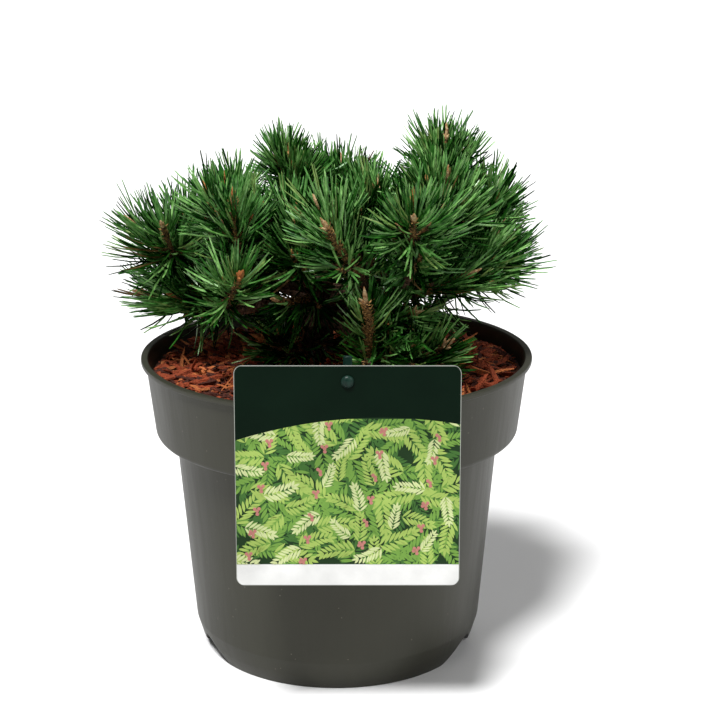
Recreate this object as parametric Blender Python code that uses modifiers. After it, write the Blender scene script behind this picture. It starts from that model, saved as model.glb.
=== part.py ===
"""A young mugo pine in its five litre nursery pot, with the hanging plant label on its stake.

Metres, Z up. The origin is on the ground under the middle of the pot, and the label faces -Y.
"""

import math
import random

import bmesh
import bpy
import numpy as np
from mathutils import Matrix, Vector

MM = 0.001
UP = Vector((0, 0, 1))
GAP = 0.3 * MM  # clearance between pieces that touch in the real plant
GOLDEN_ANGLE = math.radians(137.5)  # the turn from one spray to the next up a shoot

# Pot
RIM_RADIUS = 115.6 * MM
RIM_HEIGHT = 180.0 * MM
LIP_DEPTH = 2.6 * MM
COLLAR_TOP_RADIUS = 112.7 * MM
COLLAR_FOOT_RADIUS = 107.9 * MM
COLLAR_FOOT_HEIGHT = 136.0 * MM
BODY_TOP_RADIUS = 96.2 * MM
BODY_TOP_HEIGHT = 133.0 * MM
BODY_FOOT_RADIUS = 86.4 * MM
BODY_FOOT_HEIGHT = 18.0 * MM
FOOT_RADIUS = 80.2 * MM
WALL = 1.5 * MM
FLOOR_HEIGHT = 15.5 * MM
FOOT_RING_WIDTH = 1.8 * MM
CENTRE_FOOT_RADIUS = 12.0 * MM
POT_STEPS = 40
NOTCH_ANGLES = (-24, -156, 90)  # degrees round the pot, the front being -90
NOTCH_HALF_WIDTH = 24.0 * MM
NOTCH_HEIGHT = 12.7 * MM
DRAIN_HOLES = 6
DRAIN_RADIUS = 6.0 * MM
DRAIN_CIRCLE = 60.0 * MM

# Root ball and bark mulch
ROOT_BALL_HEIGHT = 160.0 * MM
MULCH_MIDDLE_HEIGHT = 175.5 * MM
MULCH_EDGE_HEIGHT = 169.5 * MM
MULCH_ROUGHNESS = 1.2 * MM

# Trunk: its axis, and its radius at parts of the way up
TRUNK_FOOT = Vector((-12, 14, 160.3)) * MM
TRUNK_TOP = Vector((-2, 8, 222)) * MM
TRUNK_BOW = Vector((-3, 3, 0)) * MM
TRUNK_RADII = ((0, 14.0), (0.07, 11.0), (0.18, 9.2), (0.45, 8.2), (0.75, 7.2), (1, 6.0))
TRUNK_FLARE_PART = 0.07
TRUNK_ROUNDNESS = 2  # bevel resolution: eight sides

# Boughs
MAIN_BOUGH_RADIUS = 3.6 * MM
SIDE_BOUGH_RADIUS = 2.8 * MM
BOUGH_TIP_RADIUS = 2.4 * MM
FORK_ANGLE = math.radians(52)
BOUGH_ROUNDNESS = 1  # bevel resolution: six sides
BOUGH_STEPS = 3
BOUGH_STRAIGHT = 3 * MM  # how far each end runs straight on from what it meets
BOUGH_PULL = 0.38  # how far its bend's handles reach, as a part of the way between its ends
SEAT_STEP = 0.1 * MM
SEAT_SAMPLES = 12  # points round a bough's end that are kept clear of its carrier

# Shoots, buds and needles
TWIG_RADIUS = 2.6 * MM
TWIG_TIP_RADIUS = 2.0 * MM
TWIG_STEPS = 3
BUD_LENGTH = 10 * MM
BUD_RADIUS = 2.5 * MM
BUD_TIP_RADIUS = 0.4 * MM
BUD_BELLY = 0.45  # the part of its length at which a bud is widest
LEADER_LIFT = 0.3  # how far a leader turns upward by its tip
SIDE_LIFT = 0.25
SIDE_FIRST_ROOT = 0.12  # the part of the leader's length at which the first side shoot leaves it
SIDE_ROOT_REACH = 0.32
SPREAD_AT_ROOT = 1.3  # side shoots leave wide of their spread angle, and close up toward their tips
SPREAD_AT_TIP = 0.6
SIDE_SHOOT_LENGTHS = (0.62, 0.80)
LEADER_NEEDLES = 7
SIDE_NEEDLES = 5
NEEDLE_LENGTH = 35 * MM  # of one spray of needles, drawn as a slim blade
NEEDLE_WIDTH = 4.6 * MM
NEEDLE_THICKNESS = 2.0 * MM
NEEDLE_BELLY = 0.42  # the part of its length at which a blade is widest
NEEDLE_SUNK = 0.9 * MM
NEEDLE_FIRST_ANGLE = 76
NEEDLE_LAST_ANGLE = 32
NEEDLE_ZONE = (0.18, 0.90)
NEEDLE_ANGLE_WANDER = 8
NEEDLE_TURN_WANDER = 0.3
NEEDLE_LENGTH_RANGE = (0.88, 1.04)
NEEDLE_CUTS = (1.0, 0.78, 0.58)
SPACE_MARGIN = 3.0 * MM
LIMB_MARGIN = 2.4 * MM
MULCH_MARGIN = 4.0 * MM
RIM_MARGIN = 12.0 * MM
LABEL_MARGIN = 3.0 * MM

# Each mass of foliage: the tip of its leading bud (degrees round the pot, reach and height in mm),
# the leader's lean (degrees round, degrees above level), its length in mm, the clock angles at which
# side shoots leave it, how far they spread in degrees, the limb that carries its bough, and the part
# of the way along that limb.
MASSES = {
    "far_left": ((185, 118, 260), (200, 34), 48, (10, 285), 58, "trunk", 0.64),
    "low_left": ((178, 112, 214), (184, -4), 42, (285, 80), 46, "trunk", 0.44),
    "back_left": ((150, 100, 252), (150, 34), 44, (320, 80, 190), 46, "trunk", 0.80),
    "left_front": ((-134, 80, 288), (-96, 72), 46, (320, 60), 46, "trunk", 0.78),
    "left_star": ((-122, 94, 247), (-66, 30), 38, (130,), 50, "left_front", 0.50),
    "top_left": ((180, 64, 285), (176, 80), 38, (300, 80), 46, "far_left", 0.30),
    "top_back_left": ((125, 49, 300), (110, 84), 40, (60, 240), 28, "trunk", 0.92),
    "top_back": ((88, 60, 285), (85, 74), 40, (40, 150, 270), 46, "back", 0.30),
    "centre": ((0, 24, 283), (-20, 84), 40, (70, 190, 310), 44, "trunk", 1),
    "centre_low": ((-112, 56, 277), (-100, 66), 42, (180, 40), 50, "trunk", 0.90),
    "front": ((-94, 92, 278), (-128, 38), 50, (200, 50), 42, "trunk", 0.71),
    "front_right": ((-62, 90, 290), (-90, 66), 46, (300, 180), 44, "trunk", 0.86),
    "upper_right": ((-26, 70, 294), (-30, 80), 42, (170, 60), 36, "top_right", 0.55),
    "mid_right": ((-30, 92, 240), (-26, 12), 44, (330, 110, 230), 44, "far_right", 0.40),
    "top_right": ((0, 63, 309), (0, 86), 46, (60, 190, 300), 30, "trunk", 0.87),
    "right": ((8, 88, 281), (5, 78), 42, (240, 110), 44, "far_right", 0.60),
    "far_right": ((-5, 96, 259), (0, 40), 44, (115, 180, 255), 44, "trunk", 0.68),
    "back_right": ((45, 98, 262), (45, 42), 44, (330, 80, 190), 46, "trunk", 0.60),
    "back": ((95, 102, 254), (95, 35), 44, (300, 60, 180), 46, "trunk", 0.66),
    "low_front": ((-79, 86, 236), (-101, 55), 50, (), 50, "trunk", 0.45),
    "low_right": ((-46, 93, 205), (-40, 21), 38, (70,), 44, "low_front", 0.30),
    "low_back": ((125, 92, 216), (125, 20), 42, (300,), 50, "trunk", 0.46),
    "centre_under": ((-122, 66, 226), (-125, -4), 36, (80, 290), 46, "trunk", 0.56),
    "right_inner": ((-54, 80, 221), (-52, 2), 34, (110, 270), 44, "far_right", 0.22),
    "right_under": ((2, 88, 210), (2, -4), 40, (280, 100), 44, "trunk", 0.50),
    "low_inner": ((213, 56, 198), (205, 12), 30, (), 50, "trunk", 0.34),
}

# Label card and its stake
CARD_WIDTH = 120.8 * MM
CARD_HEIGHT = 122.0 * MM
CARD_THICKNESS = 0.8 * MM
CARD_CORNER = 4.5 * MM
CARD_TOP = Vector((7.2, -114.6, 204.5)) * MM
CARD_LEAN = math.radians(4)
CARD_HOLE_RADIUS = 2.5 * MM
CARD_HOLE_DROP = 9.0 * MM
STAKE_WIDTH = 5.0 * MM
STAKE_THICKNESS = 2.0 * MM
STAKE_FOOT_HEIGHT = 142.0 * MM
STAKE_TOP_HEIGHT = 206.0 * MM
STAKE_Y = -101.0 * MM
PEG_RADIUS = 1.75 * MM
PEG_HEAD_RADIUS = 3.5 * MM
PEG_HEAD_THICKNESS = 2.0 * MM


def clear_scene():
    for thing in list(bpy.data.objects):
        bpy.data.objects.remove(thing)


def new_collection(name):
    collection = bpy.data.collections.new(name)
    bpy.context.scene.collection.children.link(collection)
    return collection


def finish(name, colour, roughness):
    material = bpy.data.materials.new(name)
    material.use_nodes = True
    shader = material.node_tree.nodes["Principled BSDF"]
    shader.inputs["Base Color"].default_value = (*colour, 1)
    shader.inputs["Roughness"].default_value = roughness
    shader.inputs["Metallic"].default_value = 0
    return material


def mesh_object(name, mesh, collection):
    thing = bpy.data.objects.new(name, mesh)
    collection.objects.link(thing)
    return thing


def as_mesh_object(source, name, collection):
    """A mesh object of what the source looks like with its modifiers on, in place of the source."""
    bpy.context.view_layer.update()
    graph = bpy.context.evaluated_depsgraph_get()
    mesh = bpy.data.meshes.new_from_object(source.evaluated_get(graph))
    place = source.matrix_world.copy()
    bpy.data.objects.remove(source)
    work = bmesh.new()
    work.from_mesh(mesh)
    bmesh.ops.remove_doubles(work, verts=work.verts, dist=1e-6)
    work.to_mesh(mesh)
    work.free()
    thing = mesh_object(name, mesh, collection)
    thing.matrix_world = place
    return thing


def make_cutter(thing):
    thing.hide_render = True
    thing.display_type = "WIRE"


def use_boolean(thing, cutter, operation):
    modifier = thing.modifiers.new(operation.lower(), "BOOLEAN")
    modifier.operation = operation
    modifier.object = cutter


def turned(name, profile, collection):
    """A solid turned round Z from a profile of (radius, height) that runs down its outer side."""
    mesh = bpy.data.meshes.new(name)
    points = [(radius, 0, height) for radius, height in profile]
    mesh.from_pydata(points, [(i, i + 1) for i in range(len(points) - 1)], [])
    thing = mesh_object(name, mesh, collection)
    screw = thing.modifiers.new("turn", "SCREW")
    screw.steps = POT_STEPS
    screw.render_steps = POT_STEPS
    screw.use_merge_vertices = True
    screw.merge_threshold = 0.00001
    return as_mesh_object(thing, name, collection)


def shade_round(thing):
    thing.data.shade_smooth()
    thing.data.set_sharp_from_angle(angle=math.radians(35))


def block(name, size, centre, collection):
    mesh = bpy.data.meshes.new(name)
    work = bmesh.new()
    bmesh.ops.create_cube(work, size=1, matrix=Matrix.Diagonal((*size, 1)))
    work.to_mesh(mesh)
    work.free()
    thing = mesh_object(name, mesh, collection)
    thing.location = centre
    return thing


def rod(name, radius, end_radius, start, end, sides, collection):
    """A round bar from start to end, its radius going from the first to the second."""
    mesh = bpy.data.meshes.new(name)
    work = bmesh.new()
    line = Vector(end) - Vector(start)
    bmesh.ops.create_cone(
        work,
        cap_ends=True,
        segments=sides,
        radius1=radius,
        radius2=end_radius,
        depth=line.length,
    )
    work.to_mesh(mesh)
    work.free()
    thing = mesh_object(name, mesh, collection)
    thing.matrix_world = Matrix.LocRotScale(
        (Vector(start) + Vector(end)) / 2, line.to_track_quat("Z", "Y"), None
    )
    return thing


def blade(root, tip, collection):
    """A slim three-sided blade from a point a little below root to tip, with its belly low down."""
    mesh = bpy.data.meshes.new("blade")
    work = bmesh.new()
    bmesh.ops.create_uvsphere(work, u_segments=3, v_segments=2, radius=1)
    line = tip - root
    start = root - line.normalized() * NEEDLE_SUNK
    length = (tip - start).length
    for vertex in work.verts:
        if abs(vertex.co.z) < 0.5:
            vertex.co.z = 2 * NEEDLE_BELLY - 1
    size = (NEEDLE_WIDTH / math.sqrt(3), NEEDLE_THICKNESS / 1.5, length / 2)
    bmesh.ops.scale(work, vec=size, verts=work.verts)
    work.to_mesh(mesh)
    work.free()
    thing = mesh_object("blade", mesh, collection)
    thing.matrix_world = Matrix.LocRotScale((start + tip) / 2, line.to_track_quat("Z", "Y"), None)


def wall_radius(height):
    """The radius of the pot's inner wall at a height."""
    if height < COLLAR_FOOT_HEIGHT:
        part = (height - BODY_FOOT_HEIGHT) / (BODY_TOP_HEIGHT - BODY_FOOT_HEIGHT)
        return BODY_FOOT_RADIUS + (BODY_TOP_RADIUS - BODY_FOOT_RADIUS) * part - WALL
    part = (height - COLLAR_FOOT_HEIGHT) / (RIM_HEIGHT - LIP_DEPTH - COLLAR_FOOT_HEIGHT)
    return COLLAR_FOOT_RADIUS + (COLLAR_TOP_RADIUS - COLLAR_FOOT_RADIUS) * part - WALL


def notch_cutter(angle, collection):
    """A prism under a cosine arch, which cuts one drainage notch through the foot ring."""
    outline = bpy.data.curves.new("notch", "CURVE")
    outline.dimensions = "2D"
    outline.fill_mode = "BOTH"
    outline.extrude = 9 * MM
    steps = 12
    arch = []
    for i in range(steps + 1):
        across_notch = -1 + 2 * i / steps
        height = NOTCH_HEIGHT * (1 + math.cos(math.pi * across_notch)) / 2
        arch.append((across_notch * NOTCH_HALF_WIDTH, height))
    below = -2 * MM
    corners = [(-NOTCH_HALF_WIDTH, below)] + arch + [(NOTCH_HALF_WIDTH, below)]
    spline = outline.splines.new("POLY")
    spline.points.add(len(corners) - 1)
    for point, (x, y) in zip(spline.points, corners):
        point.co = (x, y, 0, 1)
    spline.use_cyclic_u = True
    thing = bpy.data.objects.new("notch", outline)
    collection.objects.link(thing)
    turn = math.radians(angle)
    thing.rotation_euler = (math.pi / 2, 0, turn + math.pi / 2)
    middle = FOOT_RADIUS + 1 * MM
    thing.location = (middle * math.cos(turn), middle * math.sin(turn), 0)
    cutter = as_mesh_object(thing, f"notch_cutter_{angle}", collection)
    make_cutter(cutter)
    return cutter


def build_pot(parts, cutters):
    """The moulded pot: body, stepped collar, rolled lip, and a foot ring with three notches."""
    floor_bottom = FLOOR_HEIGHT - 2 * MM
    shelf = COLLAR_FOOT_HEIGHT - 0.4 * MM
    lip_foot = RIM_HEIGHT - LIP_DEPTH
    inner_foot = FOOT_RADIUS - FOOT_RING_WIDTH
    profile = [
        (0, FLOOR_HEIGHT),
        (BODY_FOOT_RADIUS - WALL - 1.4 * MM, FLOOR_HEIGHT),
        (BODY_FOOT_RADIUS - WALL, BODY_FOOT_HEIGHT),
        (BODY_TOP_RADIUS - WALL, shelf),
        (COLLAR_FOOT_RADIUS - WALL - 0.6 * MM, shelf),
        (wall_radius(shelf + 1.6 * MM), shelf + 1.6 * MM),
        (wall_radius(lip_foot), lip_foot),
        (COLLAR_TOP_RADIUS - WALL + 0.5 * MM, RIM_HEIGHT),
        (RIM_RADIUS - 0.8 * MM, RIM_HEIGHT),
        (RIM_RADIUS, RIM_HEIGHT - 0.9 * MM),
        (RIM_RADIUS, lip_foot + 0.2 * MM),
        (COLLAR_TOP_RADIUS, lip_foot - 0.8 * MM),
        (COLLAR_FOOT_RADIUS, COLLAR_FOOT_HEIGHT),
        (COLLAR_FOOT_RADIUS - 1 * MM, COLLAR_FOOT_HEIGHT - 1.9 * MM),
        (BODY_TOP_RADIUS + 0.6 * MM, BODY_TOP_HEIGHT + 0.8 * MM),
        (BODY_TOP_RADIUS, BODY_TOP_HEIGHT - 0.4 * MM),
        (BODY_FOOT_RADIUS, BODY_FOOT_HEIGHT),
        (BODY_FOOT_RADIUS - 0.8 * MM, BODY_FOOT_HEIGHT - 0.8 * MM),
        (FOOT_RADIUS + 3.2 * MM, 8 * MM),
        (FOOT_RADIUS, 0),
        (inner_foot, 0),
        (inner_foot + 3.2 * MM, floor_bottom),
        (CENTRE_FOOT_RADIUS + 1 * MM, floor_bottom),
        (CENTRE_FOOT_RADIUS, 0),
        (0, 0),
    ]
    pot = turned("pot", profile, parts)
    for angle in NOTCH_ANGLES:
        use_boolean(pot, notch_cutter(angle, cutters), "DIFFERENCE")
    for i in range(DRAIN_HOLES):
        turn = 2 * math.pi * (i + 0.37) / DRAIN_HOLES
        x = DRAIN_CIRCLE * math.cos(turn)
        y = DRAIN_CIRCLE * math.sin(turn)
        low = floor_bottom - 3 * MM
        high = FLOOR_HEIGHT + 3 * MM
        hole = rod(f"drain_cutter_{i}", DRAIN_RADIUS, DRAIN_RADIUS, (x, y, low), (x, y, high), 8, cutters)
        make_cutter(hole)
        use_boolean(pot, hole, "DIFFERENCE")
    shade_round(pot)
    pot.data.materials.append(finish("pot", (0.045, 0.047, 0.040), 0.42))


def build_root_ball(parts, slot):
    """The block of potting soil and roots, which fills the pot to just below the mulch."""
    clear = GAP + 0.05 * MM
    shelf = COLLAR_FOOT_HEIGHT - 0.4 * MM + GAP
    profile = [
        (0, ROOT_BALL_HEIGHT),
        (wall_radius(ROOT_BALL_HEIGHT) - clear, ROOT_BALL_HEIGHT),
        (wall_radius(shelf + 2.2 * MM) - clear, shelf + 2.2 * MM),
        (COLLAR_FOOT_RADIUS - WALL - 1.4 * MM, shelf),
        (BODY_TOP_RADIUS - WALL - clear, shelf),
        (BODY_FOOT_RADIUS - WALL - clear, BODY_FOOT_HEIGHT + 0.2 * MM),
        (BODY_FOOT_RADIUS - WALL - 2.0 * MM, FLOOR_HEIGHT + GAP),
        (0, FLOOR_HEIGHT + GAP),
    ]
    ball = turned("root_ball", profile, parts)
    use_boolean(ball, slot, "DIFFERENCE")
    ball.data.materials.append(finish("soil", (0.035, 0.022, 0.014), 0.95))


def build_mulch(parts, cutters, slot):
    """The layer of shredded bark on the soil, uneven on top, with a hole round the trunk's flare."""
    foot = ROOT_BALL_HEIGHT + GAP
    clear = GAP + 0.05 * MM
    drop = MULCH_MIDDLE_HEIGHT - MULCH_EDGE_HEIGHT
    reach = wall_radius(MULCH_EDGE_HEIGHT) - clear
    profile = []
    for i in range(6):
        part = i / 5
        profile.append((reach * part, MULCH_MIDDLE_HEIGHT - drop * part**2.4))
    profile.append((wall_radius(foot) - clear, foot))
    profile.append((0, foot))
    mulch = turned("bark_mulch", profile, parts)
    chance = random.Random("mulch")
    for vertex in mulch.data.vertices:
        if vertex.co.z > MULCH_EDGE_HEIGHT + 0.1 * MM:
            vertex.co.z += chance.uniform(-MULCH_ROUGHNESS, MULCH_ROUGHNESS)
    radius = TRUNK_RADII[0][1] * MM + 1.2 * MM
    low = TRUNK_FOOT - UP * 4 * MM
    high = TRUNK_FOOT + UP * 24 * MM
    hole = rod("trunk_hole_cutter", radius, radius, low, high, 16, cutters)
    make_cutter(hole)
    use_boolean(mulch, hole, "DIFFERENCE")
    use_boolean(mulch, slot, "DIFFERENCE")
    mulch.data.materials.append(finish("bark mulch", (0.28, 0.085, 0.028), 0.85))


def aim(azimuth, elevation):
    """The direction at an angle round the pot and an angle above level, in degrees."""
    turn = math.radians(azimuth)
    rise = math.radians(elevation)
    flat = math.cos(rise)
    return Vector((flat * math.cos(turn), flat * math.sin(turn), math.sin(rise)))


def place(azimuth, reach, height):
    """The point at an angle round the pot, a reach from its axis and a height, in mm."""
    turn = math.radians(azimuth)
    return Vector((reach * math.cos(turn), reach * math.sin(turn), height)) * MM


def bent_path(start, first, last, length, steps):
    """Points along a twig that turns evenly from its first direction to its last."""
    points = [start.copy()]
    for i in range(steps):
        part = (i + 0.5) / steps
        points.append(points[-1] + first.lerp(last, part).normalized() * (length / steps))
    return points


def around(axis, clock):
    """The direction square to axis at a clock angle: 0 is its upper side, a quarter its right."""
    side = axis.cross(UP)
    if side.length < 1e-3:
        side = Vector((0, -1, 0))
    side.normalize()
    over = side.cross(axis)
    return over * math.cos(clock) + side * math.sin(clock)


def along(path, part):
    """The point at a part of the way along a path, and the path's direction there."""
    where = part * (len(path) - 1)
    i = min(int(where), len(path) - 2)
    return path[i].lerp(path[i + 1], where - i), (path[i + 1] - path[i]).normalized()


def shoots_of(name):
    """The paths of a mass's shoots, each from its root to the foot of its bud: leader first."""
    tip, lean, length, clocks, spread = MASSES[name][:5]
    chance = random.Random(name)
    length = length * MM - BUD_LENGTH
    lead = aim(*lean)
    lift = lead.lerp(UP, LEADER_LIFT).normalized()
    leader = bent_path(Vector(), lead, lift, length, TWIG_STEPS)
    end = (leader[-1] - leader[-2]).normalized()
    shift = place(*tip) - leader[-1] - end * BUD_LENGTH
    shoots = [[point + shift for point in leader]]
    for i, clock in enumerate(clocks):
        part = SIDE_FIRST_ROOT + SIDE_ROOT_REACH * i / max(len(clocks) - 1, 1)
        root, axis = along(shoots[0], part)
        radial = around(axis, math.radians(clock))
        wide = math.radians(spread * SPREAD_AT_ROOT)
        narrow = math.radians(spread * SPREAD_AT_TIP)
        first = axis * math.cos(wide) + radial * math.sin(wide)
        last = (axis * math.cos(narrow) + radial * math.sin(narrow)).lerp(UP, SIDE_LIFT).normalized()
        shoots.append(bent_path(root, first, last, length * chance.uniform(*SIDE_SHOOT_LENGTHS), TWIG_STEPS))
    return shoots


def trunk_point(part):
    """The trunk's axis at a part of its height: upright through the flare, then leaning and bowed."""
    height = TRUNK_FOOT.z + (TRUNK_TOP.z - TRUNK_FOOT.z) * part
    share = max(0, (part - TRUNK_FLARE_PART) / (1 - TRUNK_FLARE_PART))
    point = TRUNK_FOOT.lerp(TRUNK_TOP, share) + TRUNK_BOW * math.sin(math.pi * share)
    point.z = height
    return point


def on_trunk(part):
    """The trunk's axis point and its direction at a part of its height."""
    for (before, _), (after, _) in zip(TRUNK_RADII, TRUNK_RADII[1:]):
        if before <= part <= after:
            low = trunk_point(before)
            high = trunk_point(after)
            return low.lerp(high, (part - before) / (after - before)), (high - low).normalized()


def clearance(point, carrier_points, carrier_radii):
    """How far a point is from a limb, taken as a row of cones with flat ends."""
    nearest = math.inf
    for i in range(len(carrier_points) - 1):
        run = carrier_points[i + 1] - carrier_points[i]
        offset = point - carrier_points[i]
        share = offset.dot(run) / run.length_squared
        inside = min(max(share, 0), 1)
        radius = carrier_radii[i] + (carrier_radii[i + 1] - carrier_radii[i]) * inside
        beside = (offset - run * share).length - radius
        beyond = abs(share - inside) * run.length
        nearest = min(nearest, math.hypot(max(beside, 0), beyond) if beyond else beside)
    return nearest


def seat(origin, out, radius, carrier_points, carrier_radii):
    """Where a bough starts: as near its carrier's axis as leaves its whole end clear by the gap."""
    side = around(out, 0)
    over = out.cross(side)
    turns = [2 * math.pi * i / SEAT_SAMPLES for i in range(SEAT_SAMPLES)]
    rim = [(side * math.cos(turn) + over * math.sin(turn)) * radius for turn in turns]
    spots = rim + [spot / 2 for spot in rim]
    centre = origin
    while min(clearance(centre + spot, carrier_points, carrier_radii) for spot in spots) < GAP:
        centre = centre + out * SEAT_STEP
    return centre


def limbs():
    """Each bough as (points, radii): from its carrier, 0.3 mm clear, in one bend to its mass's stem."""
    trunk_points = [trunk_point(part) for part, _ in TRUNK_RADII]
    trunk_radii = [radius * MM for _, radius in TRUNK_RADII]
    found = {}
    for name in sorted(MASSES, key=lambda key: MASSES[key][5] != "trunk"):
        carrier, part = MASSES[name][5:]
        leader = shoots_of(name)[0]
        lead = (leader[1] - leader[0]).normalized()
        heart = leader[0] - lead * GAP
        if carrier == "trunk":
            carrier_points, carrier_radii = trunk_points, trunk_radii
            origin, axis = on_trunk(part)
            radius = MAIN_BOUGH_RADIUS
        else:
            carrier_points, carrier_radii = found[carrier]
            origin, axis = along(carrier_points, part)
            radius = SIDE_BOUGH_RADIUS
        if part == 1:
            out = axis
            start = origin + axis * GAP
        else:
            toward = (heart - origin).normalized()
            sideways = (toward - axis * toward.dot(axis)).normalized()
            out = axis * math.cos(FORK_ANGLE) + sideways * math.sin(FORK_ANGLE)
            start = seat(origin, out, radius, carrier_points, carrier_radii)
        near = start + out * BOUGH_STRAIGHT
        far = heart - lead * BOUGH_STRAIGHT
        pull = (far - near).length * BOUGH_PULL
        handles = (near, near + out * pull, far - lead * pull, far)
        points = [start]
        for i in range(BOUGH_STEPS + 1):
            t = i / BOUGH_STEPS
            weights = ((1 - t) ** 3, 3 * t * (1 - t) ** 2, 3 * t * t * (1 - t), t**3)
            points.append(sum((h * w for h, w in zip(handles, weights)), Vector()))
        points.append(heart)
        last = len(points) - 1
        radii = [radius + (BOUGH_TIP_RADIUS - radius) * i / last for i in range(last + 1)]
        found[name] = (points, radii)
    return found


def tube(name, points, radii, roundness, section, collection):
    """A tapering limb through points, round with a bevel resolution, or of a section's outline."""
    curve = bpy.data.curves.new(name, "CURVE")
    curve.dimensions = "3D"
    curve.use_fill_caps = True
    if section:
        curve.bevel_mode = "OBJECT"
        curve.bevel_object = section
    else:
        curve.bevel_depth = 1
        curve.bevel_resolution = roundness
    spline = curve.splines.new("POLY")
    spline.points.add(len(points) - 1)
    for spot, point, radius in zip(spline.points, points, radii):
        spot.co = (*point, 1)
        spot.radius = radius
    thing = bpy.data.objects.new(name, curve)
    collection.objects.link(thing)
    return as_mesh_object(thing, name, collection)


def three_sided_section(collection):
    """A triangle of unit radius, which twigs are drawn along as their cross section."""
    outline = bpy.data.curves.new("twig_section", "CURVE")
    outline.dimensions = "2D"
    spline = outline.splines.new("POLY")
    spline.points.add(2)
    for i, spot in enumerate(spline.points):
        turn = -2 * math.pi * i / 3
        spot.co = (math.cos(turn), math.sin(turn), 0, 1)
    spline.use_cyclic_u = True
    section = bpy.data.objects.new("twig_section", outline)
    collection.objects.link(section)
    make_cutter(section)
    return section


class Space:
    """Where each mass's shoots and all limbs lie, to keep every needle in its own mass's space."""

    def __init__(self, limbs_found):
        self.shoots = {name: self.runs(shoots_of(name)) for name in MASSES}
        trunk_points = [trunk_point(part) for part, _ in TRUNK_RADII]
        trunk = [(trunk_points, [radius * MM for _, radius in TRUNK_RADII])]
        self.limbs = []
        for points, radii in trunk + list(limbs_found.values()):
            for i in range(len(points) - 1):
                self.limbs.append((points[i], points[i + 1], max(radii[i], radii[i + 1])))
        self.limb_starts = np.array([tuple(limb[0]) for limb in self.limbs])
        self.limb_ends = np.array([tuple(limb[1]) for limb in self.limbs])
        self.limb_radii = np.array([limb[2] for limb in self.limbs])

    @staticmethod
    def runs(paths):
        starts = [tuple(path[i]) for path in paths for i in range(len(path) - 1)]
        ends = [tuple(path[i + 1]) for path in paths for i in range(len(path) - 1)]
        return np.array(starts), np.array(ends)

    @staticmethod
    def distances(point, starts, ends):
        lines = ends - starts
        share = np.einsum("ij,ij->i", point - starts, lines) / np.einsum("ij,ij->i", lines, lines)
        nearest = starts + lines * np.clip(share, 0, 1)[:, None]
        return np.linalg.norm(point - nearest, axis=1)

    def allows(self, name, point):
        """True where a needle of the mass may pass: nearest to its own shoots, and clear of the rest."""
        x, y, z = point
        reach = math.hypot(x, y)
        if z < MULCH_MIDDLE_HEIGHT + MULCH_MARGIN:
            return False
        if reach > RIM_RADIUS - RIM_MARGIN and z < RIM_HEIGHT + MULCH_MARGIN:
            return False
        beside_card = abs(x - CARD_TOP.x) < CARD_WIDTH / 2 + LABEL_MARGIN
        if beside_card and z < CARD_TOP.z + LABEL_MARGIN and y < CARD_TOP.y + LABEL_MARGIN:
            return False
        beside_stake = abs(x - CARD_TOP.x) < STAKE_WIDTH / 2 + LABEL_MARGIN
        if beside_stake and z < STAKE_TOP_HEIGHT + LABEL_MARGIN and y < STAKE_Y + LABEL_MARGIN:
            return False
        spot = np.array((x, y, z))
        if (self.distances(spot, self.limb_starts, self.limb_ends) < self.limb_radii + LIMB_MARGIN).any():
            return False
        own = self.distances(spot, *self.shoots[name]).min()
        for other, (starts, ends) in self.shoots.items():
            if other != name and self.distances(spot, starts, ends).min() < own + SPACE_MARGIN:
                return False
        return True


def needle_of(space, name, root, direction, length):
    """The needle's end, as long as its mass's space allows, or None where even a short one leaves it."""
    for cut in NEEDLE_CUTS:
        end = root + direction * length * cut
        samples = [root.lerp(end, part) for part in (0.25, 0.5, 0.75, 0.9, 1)]
        if all(space.allows(name, point) for point in samples):
            return end
    return None


def biggest_shell(mesh):
    """Keeps the mesh's largest closed shell: loose scraps go, and a hollow inside it is filled."""
    work = bmesh.new()
    work.from_mesh(mesh)
    bmesh.ops.triangulate(work, faces=work.faces)
    waiting = set(work.faces)
    shells = []
    while waiting:
        first = waiting.pop()
        shell = [first]
        for face in shell:
            for edge in face.edges:
                for other in edge.link_faces:
                    if other in waiting:
                        waiting.remove(other)
                        shell.append(other)
        volume = 0
        for face in shell:
            a, b, c = (vertex.co for vertex in face.verts)
            volume += a.dot(b.cross(c)) / 6
        shells.append((volume, shell))
    shells.sort(key=lambda pair: -pair[0])
    for _, shell in shells[1:]:
        bmesh.ops.delete(work, geom=shell, context="FACES")
    work.to_mesh(mesh)
    work.free()


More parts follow.
